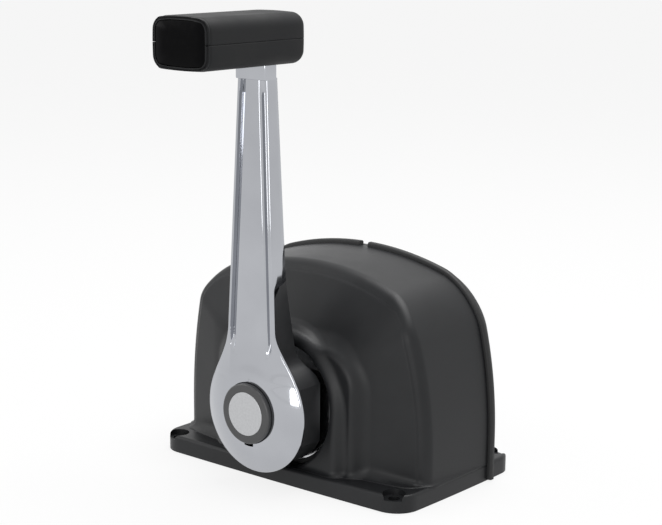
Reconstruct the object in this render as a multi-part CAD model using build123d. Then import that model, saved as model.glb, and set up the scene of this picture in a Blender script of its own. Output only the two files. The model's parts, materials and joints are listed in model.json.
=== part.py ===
from build123d import *
import math
import os

os.makedirs("parts", exist_ok=True)

# Top-mount boat throttle and shift control: one lever on the -Y side of a moulded housing.
# Millimetres. Origin: centre of the four deck screws, on the deck.
# +X runs along the base, the lever swings in the XZ plane, +Z is up, the rear is +Y.

# ---------------------------------------------------------------- deck flange
flange_length = 177.3
flange_depth = 106.8
flange_height = 9.6
flange_corner_radius = 13.0
flange_bow = 1.0
flange_edge_round = 2.0
deck_screw_spacing_x = 157.5
deck_screw_spacing_y = 93.5
deck_screw_hole_radius = 3.2
deck_screw_seat_radius = 6.2
deck_screw_seat_depth = 3.0

# ---------------------------------------------------------------- housing shells
joint_y = 26.0
arch_half_width = 90.0
arch_upright_height = 45.0
arch_shoulder_half_width = 87.0
arch_shoulder_height = 101.0
arch_top_height = 121.0
arch_shoulder_radius = 44.0
arch_draft_degrees = 3.2
housing_wall = 3.5
front_wall_y = -38.5
front_panel_half_width = 52.5
front_side_sweep_degrees = 15.5
front_kink_height = 77.0
front_top_lean_degrees = 23.0
front_facet_round = 9.0
front_border_width = 2.6
front_border_step = 0.8
rear_wall_y = 34.0
rear_edge_round = 4.0

# ---------------------------------------------------------------- hub boss on the front wall
shaft_height = 43.1
boss_front_y = -47.5
boss_draft_degrees = 2.5
boss_front_half_width = 38.5
boss_front_corner_radius = 35.5
boss_front_top = 81.0
boss_root_half_width = 50.0
boss_root_corner_radius = 28.0
boss_root_top = 80.0
boss_edge_round = 2.2
recess_radius = 34.5
recess_floor_y = -41.6
recess_edge_round = 1.4

# ---------------------------------------------------------------- edge seals over the joint
seal_width = 4.0
seal_proud = 2.3
seal_depth = 1.6
seal_top_gap = 4.6
seal_foot_clearance = 0.6

# ---------------------------------------------------------------- lever and hub
hub_radius = 32.0
hub_flat_half_width = 27.8
hub_front_y = -65.5
hub_rear_y = -46.5
hub_spigot_radius = 17.0
chrome_radius = 34.0
chrome_rim_y = -67.1
chrome_crown_y = -72.6
lever_bottom_height = 80.0
lever_bottom_half_width = 16.9
lever_bottom_front_y = -71.3
lever_bottom_back_y = -59.4
lever_top_height = 222.0
lever_top_half_width = 10.5
lever_top_front_y = -69.2
lever_top_back_y = -61.6
lever_skin = 1.5
lever_shoulder_radius = 13.0
neck_height = 78.5
backing_top_height = 113.0
backing_bottom_back_y = -54.5
collar_half_width = 10.0
collar_front_y = -71.1
collar_back_y = -61.3
flute_width = 4.2
flute_depth = 2.6
flute_border = 2.2
flute_tip_height = 72.0
flute_tip_inset = 1.8
tang_half_width = 4.0
tang_front_y = -69.4
tang_back_y = -63.0
tang_top = 247.0
grip_pin_radius = 1.5

# ---------------------------------------------------------------- grip
grip_height = 243.0
grip_front_y = -122.5
grip_back_y = -48.2
grip_half_width = 17.2
grip_half_height = 12.6
grip_corner_radius = 8.0
grip_end_round = 3.0
grip_wall = 2.6
grip_cap_thickness = 1.6
grip_core_half_width = 8.0
grip_core_half_height = 6.5
grip_cap_margin = 2.4
grip_post_radius = 4.6
grip_screw_places = (-110.0, -86.0)
grip_screw_head_radius = 3.4
grip_screw_head_height = 2.2

# ---------------------------------------------------------------- push button in the hub
button_radius = 16.5
button_face_y = -75.5
button_length = 8.5
button_wall = 2.0
button_travel = 4.0
badge_radius = 11.9
badge_thickness = 1.2
badge_seat_depth = 1.0
button_back_y = -73.3
stem_radius = 3.0
stem_head_radius = 6.0
stem_end_y = -45.0
spring_wire_radius = 0.5
spring_coil_radius = 8.6
spring_turns = 3.5

# ---------------------------------------------------------------- main shaft
shaft_radius = 7.0
shaft_bore_radius = 3.1
shaft_bore_end_y = -40.0
shaft_square = 9.6
shaft_front_y = -64.0
shaft_shoulder_y = -49.0
hub_floor_y = -58.0
thread_radius = 4.8
hub_nut_flats = 16.0
throttle_nut_flats = 16.0
key_size = 3.0
spacer_radius = 9.5

# ---------------------------------------------------------------- mechanism plates
plate_front_y = -32.0
plate_thickness = 5.0
plate_x = (-48.0, 48.0)
plate_z = (13.0, 75.0)
plate_corner_radius = 6.0
rear_plate_y = 3.0
rear_plate_thickness = 3.0
rear_plate_x = (-42.0, 46.0)
pillar_radius = 4.0
pillar_places = ((38.0, 68.0), (38.0, 20.0), (-30.0, 20.0))
plate_screw_places = ((-43.0, 30.0), (-43.0, 69.0), (43.0, 30.0), (43.0, 58.0))
small_screw_radius = 2.0
bush_radius = 10.0
washer_radius = 26.5
washer_thickness = 1.0

# ---------------------------------------------------------------- shift gears
gear_module = 1.5
drive_teeth = 14
shift_teeth = 33
tooth_addendum = 0.8
tooth_backlash = 0.18
pressure_angle_degrees = 20.0
gear_y = -17.0
gear_thickness = 8.0
shift_direction_degrees = 150.0
shift_sector_teeth = 11
shift_shaft_radius = 5.0
shift_arm_length = 44.0
arm_end_radius = 7.0
arm_root_radius = 11.0
cable_stud_radius = 2.5
cable_stud_length = 9.0

# ---------------------------------------------------------------- throttle arm
throttle_arm_length = 40.0
throttle_arm_y = 14.5
throttle_arm_thickness = 5.0

# ---------------------------------------------------------------- neutral detent and switch
detent_radius = 20.0
detent_y = -9.0
detent_thickness = 6.0
detent_notch_radius = 3.4
detent_notch_angles = (-30.0, 0.0, 30.0)
detent_plunger_radius = 3.0
detent_plunger_length = 9.0
detent_block_x = (23.0, 43.0)
detent_block_half_height = 8.0
detent_screw_x = 39.5
detent_spring_length = 6.5
detent_spring_wire = 0.45
switch_half_width = 12.0
switch_z = (8.5, 20.0)
switch_plunger_radius = 1.5
switch_notch_depth = 1.2

# ---------------------------------------------------------------- cable anchors
saddle_width = 15.0
saddle_height = 9.0
saddle_depth = 11.0
cable_hub_radius = 4.5
shift_saddle_x = -70.5
shift_saddle_z = 23.5
throttle_saddle_x = 26.0
throttle_saddle_z = 17.0
bracket_thickness = 3.0
saddle_screw_offset = 6.0

# ---------------------------------------------------------------- housing screws
cover_screw_places = ((-80.5, 13.0), (80.5, 13.0), (-45.0, 101.0), (45.0, 101.0))
cover_column_radius = 5.2
cover_screw_radius = 2.4
cover_screw_head_radius = 4.4
cover_screw_head_height = 2.6
cover_screw_length = 24.0

# ---------------------------------------------------------------- clearances
running_clearance = 0.05
loose_clearance = 0.3
seat_clearance = 0.1

gear_centres = gear_module * (drive_teeth + shift_teeth) / 2
shift_x = gear_centres * math.cos(math.radians(shift_direction_degrees))
shift_z = shaft_height + gear_centres * math.sin(math.radians(shift_direction_degrees))


def save(node, shape):
    shape.label = node
    export_step(shape, "parts/" + node + ".step")


def xz_plane(y):
    """Sketch plane facing -Y: local x is X, local y is Z."""
    return Plane(origin=(0, y, 0), x_dir=(1, 0, 0), z_dir=(0, -1, 0))


def forward(face, y_from, y_to):
    """Extrude a flat XZ sketch between two Y planes, y_to < y_from."""
    return extrude(xz_plane(y_from) * face, amount=y_from - y_to)


def rod(x, z, radius, y_from, y_to):
    return forward(Pos(x, z) * Circle(radius), y_from, y_to)


def box_between(x0, x1, y0, y1, z0, z1):
    centre = Pos((x0 + x1) / 2, (y0 + y1) / 2, (z0 + z1) / 2)
    return centre * Box(x1 - x0, y1 - y0, z1 - z0)


# ================================================================ housing forms
def arch_face(inset, foot):
    """Loaf-shaped profile of the housing, drawn inwards by inset, from z = foot."""
    half = arch_half_width - inset
    shoulder = (arch_shoulder_half_width - inset, arch_shoulder_height - inset)
    upright = (half, arch_upright_height)
    with BuildSketch() as sketch:
        with BuildLine():
            Line((half, foot), upright)
            right = TangentArc(upright, shoulder, tangent=(0, 1))
            left_end = (-shoulder[0], shoulder[1])
            ThreePointArc(shoulder, (0, arch_top_height - inset), left_end)
            mirror(right, about=Plane.YZ)
            Line((-half, arch_upright_height), (-half, foot))
            Line((-half, foot), (half, foot))
        make_face()
        corners = [v for v in sketch.vertices() if abs(v.Y - shoulder[1]) < 0.01]
        fillet(corners, arch_shoulder_radius - inset)
    return sketch.sketch


def arch_block(inset, y_rear, y_front, foot):
    """Arch drafted so that it narrows away from the joint, to the front and to the rear."""
    slope = math.tan(math.radians(arch_draft_degrees))
    rear = xz_plane(y_rear) * arch_face(inset + abs(joint_y - y_rear) * slope, foot)
    front = xz_plane(y_front) * arch_face(inset + abs(joint_y - y_front) * slope, foot)
    return loft([rear.face(), front.face()], ruled=True)


def facet_block(set_back, round_edges):
    """Convex block behind the front panel, the two swept side panels and the leaning top panel."""
    wall_y = front_wall_y + set_back
    reach = 2 * arch_half_width
    sweep = math.tan(math.radians(front_side_sweep_degrees))
    side_y = wall_y + sweep * (reach - front_panel_half_width)
    back_y = joint_y + reach
    plan = Polyline(
        (-reach, back_y), (-reach, side_y), (-front_panel_half_width, wall_y),
        (front_panel_half_width, wall_y), (reach, side_y), (reach, back_y), close=True)
    block = extrude(make_face(plan), amount=2 * reach)
    block = Pos(0, 0, -reach) * block
    lean = math.tan(math.radians(front_top_lean_degrees))
    top_z = reach
    top_y = wall_y + lean * (top_z - front_kink_height)
    side = Polyline(
        (wall_y - reach, front_kink_height), (wall_y, front_kink_height), (top_y, top_z),
        (top_y, 2 * top_z), (wall_y - reach, 2 * top_z), close=True)
    wedge = extrude(Plane.YZ * make_face(side), amount=reach * 1.5, both=True)
    block = block - wedge
    if round_edges > 0:
        kinks = [e for e in block.edges() if e.center().Y < side_y - 1 and is_front_kink(e, wall_y)]
        block = fillet(kinks, round_edges)
    return block


def is_front_kink(edge, wall_y):
    """True for the creases that meet at the two upper corners of the front panel."""
    for v in edge.vertices():
        at_corner = abs(abs(v.X) - front_panel_half_width) < 0.1 and abs(v.Y - wall_y) < 0.1
        if at_corner and abs(v.Z - front_kink_height) < 0.1:
            return True
    return False


def tombstone(half_width, top, corner_radius, foot):
    """Upright profile with two rounded upper corners."""
    with BuildSketch() as sketch:
        with Locations((0, (top + foot) / 2)):
            Rectangle(2 * half_width, top - foot)
        fillet(sketch.vertices().sort_by(Axis.Y)[-2:], corner_radius)
    return sketch.sketch


def boss_block():
    """Drafted tombstone boss that carries the lever hub, its front leaning with the mould draft."""
    foot = flange_height / 4
    lean = math.radians(boss_draft_degrees)
    front_plane = Plane(
        origin=(0, boss_front_y, shaft_height), x_dir=(1, 0, 0),
        z_dir=(0, -math.cos(lean), math.sin(lean)))
    front = tombstone(boss_front_half_width, boss_front_top, boss_front_corner_radius, foot)
    front = front_plane * (Pos(0, -shaft_height) * front)
    root = tombstone(boss_root_half_width, boss_root_top, boss_root_corner_radius, foot)
    root = xz_plane(front_wall_y + housing_wall) * root
    block = loft([root.face(), front.face()], ruled=True)
    rim = block.faces().sort_by(Axis.Y)[0].edges()
    return fillet(rim, boss_edge_round)


def flange_block():
    """Deck flange with slightly bowed edges, rounded corners and an eased upper edge."""
    half_x = flange_length / 2
    half_y = flange_depth / 2
    corner_x = half_x - flange_bow
    corner_y = half_y - flange_bow
    with BuildSketch() as plan:
        with BuildLine():
            ThreePointArc((-corner_x, -corner_y), (0, -half_y), (corner_x, -corner_y))
            ThreePointArc((corner_x, -corner_y), (half_x, 0), (corner_x, corner_y))
            ThreePointArc((corner_x, corner_y), (0, half_y), (-corner_x, corner_y))
            ThreePointArc((-corner_x, corner_y), (-half_x, 0), (-corner_x, -corner_y))
        make_face()
        fillet(plan.vertices(), flange_corner_radius)
    block = extrude(plan.sketch, amount=flange_height)
    return fillet(block.faces().sort_by(Axis.Z)[-1].edges(), flange_edge_round)


def deck_screw_cut():
    """Four through holes, each with a shallow flat seat for its screw head."""
    cut = []
    for x in (-deck_screw_spacing_x / 2, deck_screw_spacing_x / 2):
        for y in (-deck_screw_spacing_y / 2, deck_screw_spacing_y / 2):
            hole = Cylinder(deck_screw_hole_radius, 3 * flange_height)
            seat = Cylinder(deck_screw_seat_radius, 2 * deck_screw_seat_depth)
            cut.append(Pos(x, y, 0) * hole)
            cut.append(Pos(x, y, flange_height) * seat)
    return cut


def seal_groove(y_from, y_to):
    """Rebate round the housing edge that takes the rubber strips."""
    outside = forward(arch_face(-3 * seal_proud, -flange_height), y_from, y_to)
    inside = forward(arch_face(seal_depth, -2 * flange_height), y_from, y_to)
    return outside - inside


def rear_half_space():
    size = 4 * arch_half_width
    return Pos(0, joint_y + size / 2, 0) * Box(size, size, size)


def front_housing():
    y_front = boss_front_y
    border = arch_block(0, joint_y, y_front, 0) & facet_block(front_border_step, front_facet_round)
    panel = arch_block(front_border_width, joint_y, y_front, 0) & facet_block(0, front_facet_round)
    outer = border + panel + boss_block()
    inner_wall_y = front_wall_y + housing_wall
    cavity = arch_block(housing_wall, joint_y + 1, y_front, -1) & facet_block(housing_wall, 0)
    columns = []
    for x, z in cover_screw_places:
        columns.append(rod(x, z, cover_column_radius, joint_y, boss_front_y))
    for x, z in plate_screw_places:
        columns.append(rod(x, z, cover_column_radius, plate_front_y, boss_front_y))
    kept_columns = Part() + columns
    kept_columns = kept_columns & (arch_block(housing_wall / 2, joint_y, y_front, 0)
                                   & facet_block(housing_wall / 2, 0))
    shell = outer + (flange_block() - rear_half_space()) - cavity + kept_columns
    recess = rod(0, shaft_height, recess_radius, recess_floor_y, 2 * boss_front_y)
    core = rod(0, shaft_height, recess_radius - 2, inner_wall_y, recess_floor_y + housing_wall)
    core = core - rod(0, shaft_height, bush_radius + 5, inner_wall_y, recess_floor_y)
    shell = shell - recess - core
    shell = shell - rod(0, shaft_height, bush_radius + running_clearance, 0, 2 * boss_front_y)
    shell = shell - deck_screw_cut() - seal_groove(joint_y, joint_y - seal_width / 2)
    holes = []
    for x, z in cover_screw_places:
        holes.append(rod(x, z, cover_screw_radius, joint_y, joint_y - cover_screw_length))
    for x, z in plate_screw_places:
        holes.append(rod(x, z, small_screw_radius, plate_front_y, plate_front_y - 5))
    return shell - holes


def rear_housing():
    outer = arch_block(0, rear_wall_y, joint_y, 0)
    rear_rim = outer.faces().sort_by(Axis.Y)[-1].edges().filter_by(lambda e: e.center().Z > 1)
    outer = fillet(rear_rim, rear_edge_round)
    inner_y = rear_wall_y - housing_wall
    cavity = arch_block(housing_wall, inner_y, joint_y - 1, -1)
    columns = []
    for x, z in cover_screw_places:
        columns.append(rod(x, z, cover_column_radius, inner_y, joint_y))
    columns = (Part() + columns) & arch_block(housing_wall / 2, inner_y, joint_y, 0)
    shell = outer + (flange_block() & rear_half_space()) - cavity + columns
    shell = shell - deck_screw_cut() - seal_groove(joint_y + seal_width / 2, joint_y)
    head_radius = cover_screw_head_radius + seat_clearance
    seat_y = rear_wall_y - cover_screw_head_height
    holes = []
    for x, z in cover_screw_places:
        holes.append(rod(x, z, cover_screw_radius, rear_wall_y, joint_y - 1))
        holes.append(rod(x, z, head_radius, rear_wall_y + 1, seat_y))
    return shell - holes


def edge_seal(side):
    """Rubber strip over half of the joint, from the deck to the gap at the top centre."""
    y_from = joint_y + seal_width / 2
    y_to = joint_y - seal_width / 2
    outer = forward(arch_face(-seal_proud, seal_foot_clearance), y_from, y_to)
    faces = outer.faces().sort_by(Axis.Y)
    long_edges = faces[0].edges() + faces[-1].edges()
    outer = fillet(long_edges, seal_proud / 2)
    inner = forward(arch_face(seal_depth - seat_clearance, -flange_height), y_from, y_to)
    reach = 2 * arch_half_width
    other_side = Pos(-side * (reach / 2 - seal_top_gap / 2), joint_y, 0) * Box(reach, reach, 2 * reach)
    return outer - inner - other_side


def cover_screws():
    screws = []
    head_y = rear_wall_y - cover_screw_head_height
    shank_radius = cover_screw_radius - seat_clearance
    for x, z in cover_screw_places:
        head = rod(x, z, cover_screw_head_radius, rear_wall_y, head_y)
        shank = rod(x, z, shank_radius, head_y, head_y - cover_screw_length)
        socket = forward(Pos(x, z) * RegularPolygon(2.3, 6), rear_wall_y, head_y + 1)
        screws.append(head + shank - socket)
    return Part() + screws


def ring(x, z, outer_radius, inner_radius, y_from, y_to):
    return rod(x, z, outer_radius, y_from, y_to) - rod(x, z, inner_radius, y_from + 1, y_to - 1)


# ================================================================ lever
def along_lever(bottom, top, z):
    """Straight taper between the lever's lower and upper sections."""
    share = (z - lever_bottom_height) / (lever_top_height - lever_bottom_height)
    return bottom + share * (top - bottom)


def lever_half(z):
    return along_lever(lever_bottom_half_width, lever_top_half_width, z)


def lever_front(z):
    return along_lever(lever_bottom_front_y, lever_top_front_y, z)


def lever_back(z):
    return along_lever(lever_bottom_back_y, lever_top_back_y, z)


def lever_bar(z_low, z_high, side_inset, front_inset, depth):
    """Tapered bar that follows the lever's sides and front; depth 0 means full depth."""
    sections = []
    for z in (z_low, z_high):
        front = lever_front(z) + front_inset
        back = front + depth if depth > 0 else lever_back(z)
        width = 2 * (lever_half(z) - side_inset)
        sections.append(Pos(0, (front + back) / 2, z) * Rectangle(width, back - front))
    return loft([f.face() for f in sections], ruled=True)


def neck_region(clearance):
    """Space behind the chrome skin below the S-shaped end of its side walls."""
    z = backing_top_height + 3 + clearance
    back = hub_rear_y
    front_low = lever_front(backing_top_height - 10) + lever_skin + clearance
    front_deep = lever_front(0) + lever_skin + clearance
    with BuildSketch(Plane.YZ) as side:
        with BuildLine():
            Polyline((back, 0), (back, z), (lever_back(z) - 1, z))
            Spline((lever_back(z) - 1, z), (front_low + 3.5, z - 4.5), (front_low, z - 11),
                   tangents=((-1, 0), (0, -1)))
            Polyline((front_low, z - 11), (front_deep, 0), (back, 0))
        make_face()
    return extrude(side.sketch, amount=2 * hub_radius, both=True)


def flute_cut(side):
    """One long groove beside the central rib, fading to a point above the hub."""
    sections = []
    top_z = lever_top_height - 0.6
    for z, width, depth in ((top_z, flute_width, flute_depth), (flute_tip_height, 0.5, 0.2)):
        outer = lever_half(z) - flute_border - (flute_tip_inset if z < top_z else 0)
        front = lever_front(z)
        points = [(outer, front - 1), (outer, front), (outer - 0.2 * width, front + depth),
                  (outer - 0.7 * width, front + depth), (outer - width, front),
                  (outer - width, front - 1)]
        outline = Polyline([(side * x, y) for x, y in points], close=True)
        sections.append(Pos(0, 0, z) * make_face(outline))
    return loft([f.face() for f in sections], ruled=True)


def plan_with_shoulders(radius, flat_half_width, side_inset, top, shoulder):
    """Hub disc and tapered lever strip in one XZ outline with concave shoulders."""
    with BuildSketch() as plan:
        with Locations((0, shaft_height)):
            Circle(radius)
            Rectangle(2 * flat_half_width, 2 * radius, mode=Mode.INTERSECT)
        low = lever_half(shaft_height) - side_inset
        high = lever_half(top) - side_inset
        with BuildLine():
            Polyline((-low, shaft_height), (low, shaft_height), (high, top), (-high, top), close=True)
        make_face()
        inner = [v for v in plan.vertices()
                 if abs(v.X) < low + 1 and shaft_height + radius / 2 < v.Y < shaft_height + radius + 3]
        fillet(inner, shoulder)
    return plan.sketch


def chrome_disc():
    """Domed ring round the push button."""
    inner = button_radius + 0.4
    mid_radius = (inner + chrome_radius) / 2
    with BuildSketch() as half:
        with BuildLine():
            Polyline((chrome_radius, chrome_rim_y), (chrome_radius, hub_front_y),
                     (inner, hub_front_y), (inner, chrome_crown_y), (inner + 1.5, chrome_crown_y))
            ThreePointArc((inner + 1.5, chrome_crown_y), (mid_radius + 1, chrome_crown_y + 1.6),
                          (chrome_radius, chrome_rim_y))
        make_face()
    return Pos(0, 0, shaft_height) * revolve(half.sketch, Axis.Y)


def lever_arm():
    bar = lever_bar(shaft_height + 12, lever_top_height, 0, 0, 0)
    bar = fillet(bar.edges().filter_by(lambda e: e.length > 100), 1.2)
    inner_rib = lever_bar(shaft_height, backing_top_height + 6, 2.0, -1, flute_depth + 3)
    bar = bar - (neck_region(0) - inner_rib)
    bar = bar - flute_cut(1) - flute_cut(-1)
    plan = plan_with_shoulders(chrome_radius, chrome_radius, 0, lever_bottom_height + 20,
                               lever_shoulder_radius)
    neck_front = lever_front(lever_bottom_height)
    low_skin = forward(plan, hub_front_y, chrome_rim_y - 1.2)
    low_skin = low_skin & box_between(-hub_radius * 2, hub_radius * 2, -100, 0, 0, neck_height)
    neck_skin = forward(plan, neck_front + lever_skin, neck_front)
    neck_skin = neck_skin & box_between(-hub_radius, hub_radius, -100, 0, neck_height - 6,
                                        2 * neck_height)
    skin = low_skin + neck_skin
    collar = box_between(-collar_half_width, collar_half_width, collar_front_y, collar_back_y,
                         lever_top_height - 0.5, grip_height - grip_half_height - 0.1)
    collar = fillet(collar.edges().filter_by(Axis.Z), 1.5)
    tang = box_between(-tang_half_width, tang_half_width, tang_front_y, tang_back_y,
                       lever_top_height, tang_top)
    arm = bar + skin + chrome_disc() + collar + tang
    bore = rod(0, shaft_height, button_radius + 0.4, 0, 2 * chrome_crown_y)
    pin_hole = Pos(0, (tang_front_y + tang_back_y) / 2, grip_height - 2)
    pin_hole = pin_hole * Rot(0, 90, 0) * Cylinder(grip_pin_radius + running_clearance, 40)
    return arm - bore - pin_hole


def lever_hub():
    """Black moulded hub and lever backing in one piece."""
    inset = 0.3
    plan = plan_with_shoulders(hub_radius, hub_flat_half_width, inset, backing_top_height + 3,
                               lever_shoulder_radius - 3)
    body = forward(plan, hub_rear_y, 1.2 * lever_bottom_front_y)
    z = backing_top_height + 3 - seat_clearance
    hub_face = hub_front_y + seat_clearance
    back_line = [(hub_rear_y, 0), (hub_rear_y, 63.0), (-51.8, 72.6), (-54.3, 77.8),
                 (-56.0, 89.0), (-57.6, 99.0), (lever_back(z), z + 1), (-90, z + 1)]
    side = Polyline(back_line + [(-90, neck_height + seat_clearance),
                                 (hub_face, neck_height + seat_clearance), (hub_face, 0)],
                    close=True)
    body = body & extrude(Plane.YZ * make_face(side), amount=2 * hub_radius, both=True)
    body = body & (neck_region(seat_clearance) + lower_hub_space())
    channel = lever_bar(shaft_height, backing_top_height + 8, 2.0 - seat_clearance, -1,
                        flute_depth + 3 + seat_clearance)
    body = body - (channel - lower_hub_space())
    spigot = rod(0, shaft_height, hub_spigot_radius, hub_rear_y, recess_floor_y - washer_thickness
                 - loose_clearance)
    pocket = rod(0, shaft_height, button_radius + 0.9, hub_floor_y, 2 * hub_front_y)
    square = forward(Pos(0, shaft_height) * Rectangle(shaft_square + 2 * running_clearance,
                     shaft_square + 2 * running_clearance), 0, 2 * hub_front_y)
    body = body + spigot - pocket - square
    shaft_seat = rod(0, shaft_height, shaft_radius + running_clearance, 0, shaft_shoulder_y)
    return body - shaft_seat


def lower_hub_space():
    """Everything behind the hub's front face, below the lever neck."""
    size = 3 * hub_radius
    top = neck_height + seat_clearance
    return box_between(-size, size, hub_front_y + seat_clearance, 0, -size, top)


# ================================================================ grip
def grip_section(inset):
    width = 2 * (grip_half_width - inset)
    height = 2 * (grip_half_height - inset)
    return Pos(0, grip_height) * RectangleRounded(width, height, grip_corner_radius - inset)


def grip_half(side):
    """Upper (side 1) or lower (side -1) moulded half of the hand grip."""
    body = forward(grip_section(0), grip_back_y, grip_front_y)
    ends = body.faces().sort_by(Axis.Y)
    body = fillet(ends[0].edges() + ends[-1].edges(), grip_end_round)
    hollow = forward(grip_section(grip_wall), grip_back_y - grip_wall,
                     grip_front_y + grip_wall + grip_cap_thickness)
    posts = []
    for y in grip_screw_places:
        post = Pos(0, y, grip_height) * Cylinder(grip_post_radius, 2 * (grip_half_height - 1))
        posts.append(post)
    core = grip_core_block(0)
    body = body - hollow + posts - core
    body = body - forward(grip_cap_section(-seat_clearance), grip_front_y + grip_cap_thickness,
                          2 * grip_front_y)
    keep = Pos(0, 0, grip_height + side * grip_half_height * 2)
    keep = keep * Box(1000, 1000, 4 * grip_half_height)
    return body & keep


def grip_core_block(clearance):
    y_back = grip_back_y - grip_wall - 1
    y_front = grip_front_y + grip_wall + grip_cap_thickness + 1
    section = RectangleRounded(2 * grip_core_half_width - 2 * clearance,
                               2 * grip_core_half_height - 2 * clearance, 2)
    return forward(Pos(0, grip_height) * section, y_back, y_front)


def grip_cap_section(inset):
    width = 2 * (grip_half_width - grip_cap_margin - inset)
    height = 2 * (grip_half_height - grip_cap_margin - inset)
    return Pos(0, grip_height) * RectangleRounded(width, height, grip_corner_radius / 2)


def grip_core():
    """Moulded bar inside the grip, socketed over the lever's tang."""
    core = grip_core_block(0)
    socket = box_between(-tang_half_width - running_clearance, tang_half_width + running_clearance,
                         tang_front_y - running_clearance, tang_back_y + running_clearance,
                         0, tang_top + running_clearance)
    middle_y = (tang_front_y + tang_back_y) / 2
    pin_hole = Pos(0, middle_y, grip_height - 2) * Rot(0, 90, 0)
    pin_hole = pin_hole * Cylinder(grip_pin_radius + running_clearance, 40)
    core = core - socket - pin_hole
    for y in grip_screw_places:
        core = core - Pos(0, y, grip_height) * Cylinder(small_screw_radius, 40)
    return core


def grip_pin():
    middle_y = (tang_front_y + tang_back_y) / 2
    pin = Cylinder(grip_pin_radius, 2 * grip_core_half_width - 0.4)
    return Pos(0, middle_y, grip_height - 2) * Rot(0, 90, 0) * pin


def grip_end_cap():
    """Blank gloss panel set into the end of the grip that faces away from the housing."""
    cap = forward(grip_cap_section(0), grip_front_y + grip_cap_thickness, grip_front_y + 0.2)
    return fillet(cap.faces().sort_by(Axis.Y)[0].edges(), 0.4)


def screw_along_z(radius, head_radius, head_height, z_head, z_tip):
    """Screw entered from below, its head's lower face at z_head."""
    head = Pos(0, 0, z_head + head_height / 2) * Cylinder(head_radius, head_height)
    shank_length = z_tip - z_head
    shank = Pos(0, 0, z_head + shank_length / 2) * Cylinder(radius, shank_length)
    socket = Pos(0, 0, z_head) * extrude(RegularPolygon(head_radius / 2, 6), amount=head_height / 2)
    return head + shank - socket


def grip_screws():
    z_head = grip_height - grip_half_height + 0.3
    z_tip = grip_height + grip_half_height - grip_wall
    screws = []
    for y in grip_screw_places:
        screw = screw_along_z(small_screw_radius - seat_clearance, grip_screw_head_radius,
                              grip_screw_head_height, z_head, z_tip)
        screws.append(Pos(0, y, 0) * screw)
    return Part() + screws


def grip_screw_holes():
    z_head = grip_height - grip_half_height + 0.3
    cuts = []
    for y in grip_screw_places:
        seat_depth = grip_screw_head_height + 0.3
        seat = Cylinder(grip_screw_head_radius + seat_clearance, 2 * seat_depth)
        cuts.append(Pos(0, y, z_head - 0.3) * seat)
        cuts.append(Pos(0, y, grip_height) * Cylinder(small_screw_radius, 2 * (grip_half_height - 2)))
    return cuts


def lever_tang_slot():
    """Opening in the lower half for the lever's tang."""
    return box_between(-tang_half_width - loose_clearance, tang_half_width + loose_clearance,
                       tang_front_y - loose_clearance, tang_back_y + loose_clearance,
                       grip_height - 2 * grip_half_height, grip_height - grip_core_half_height)


# ================================================================ push button
def button_ring():
    """Moulded cup with a shallow seat for the badge disc."""
    end_y = button_face_y + button_length
    cup = rod(0, shaft_height, button_radius, end_y, button_face_y)
    cup = fillet(cup.edges().filter_by(GeomType.CIRCLE).sort_by(Axis.Y)[0], 1.0)
    hollow = rod(0, shaft_height, button_radius - button_wall, end_y + 1, button_back_y)
    seat = rod(0, shaft_height, badge_radius + seat_clearance, button_face_y + badge_seat_depth,
               button_face_y - 1)
    return cup - hollow - seat


def button_badge():
    back = button_face_y + badge_seat_depth
    badge = rod(0, shaft_height, badge_radius, back, back - badge_thickness)
    return fillet(badge.edges().filter_by(GeomType.CIRCLE).sort_by(Axis.Y)[0], 0.3)


def button_stem():
    """Push rod that runs inside the hollow main shaft."""
    head = rod(0, shaft_height, stem_head_radius, button_back_y + 1.5, button_back_y)
    stem = rod(0, shaft_height, stem_radius, stem_end_y, button_back_y)
    return head + stem


def coil(radius, wire_radius, length, turns):
    """Compression spring along Z from z = 0."""
    pitch = length / turns
    path = Helix(pitch=pitch, height=length, radius=radius)
    section = Plane(origin=path @ 0, z_dir=path % 0) * Circle(wire_radius)
    return sweep(section, path=path, is_frenet=True)


def button_spring():
    """Return spring between the hub nut and the inside of the button."""
    start = shaft_front_y - spring_wire_radius - loose_clearance
    end = button_back_y + 1.5 + spring_wire_radius + loose_clearance
    spring = coil(spring_coil_radius, spring_wire_radius, start - end, spring_turns)
    return Pos(0, start, shaft_height) * Rot(90, 0, 0) * spring


# ================================================================ main shaft
def square_rod(size, y_from, y_to):
    return forward(Pos(0, shaft_height) * Rectangle(size, size), y_from, y_to)


def main_shaft():
    throttle_front_y = throttle_arm_y - throttle_arm_thickness
    body = rod(0, shaft_height, shaft_radius, throttle_front_y - 0.4, shaft_shoulder_y)
    front_square = square_rod(shaft_square, shaft_shoulder_y, hub_floor_y)
    rear_square = square_rod(shaft_square, throttle_arm_y, throttle_front_y - 0.4)
    front_thread = rod(0, shaft_height, thread_radius, hub_floor_y, shaft_front_y)
    rear_thread = rod(0, shaft_height, thread_radius, throttle_arm_y + 5.5, throttle_arm_y)
    shaft = body + front_square + rear_square + front_thread + rear_thread
    shaft = shaft - rod(0, shaft_height, shaft_bore_radius, shaft_bore_end_y, 2 * shaft_front_y)
    shaft = shaft - circlip_groove()
    return shaft - key_slot(0)


def key_slot(clearance):
    half = key_size / 2 + clearance
    return box_between(-half, half, gear_y - gear_thickness, detent_y,
                       shaft_height + shaft_radius - key_size / 2 - clearance,
                       shaft_height + shaft_radius + key_size / 2 + clearance)


def shaft_key():
    return key_slot(-running_clearance / 2)


def circlip_groove():
    y = rear_plate_y + rear_plate_thickness + 1.0
    groove = ring(0, shaft_height, shaft_radius + 1, shaft_radius - 0.8, y + 1.1, y)
    return groove


def shaft_circlip():
    y = rear_plate_y + rear_plate_thickness + 1.0
    clip = ring(0, shaft_height, shaft_radius + 2.2, shaft_radius - 0.7, y + 1.0, y + 0.05)
    slot = box_between(-2, 2, y - 1, y + 2, shaft_height - 12, shaft_height)
    return clip - slot


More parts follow.
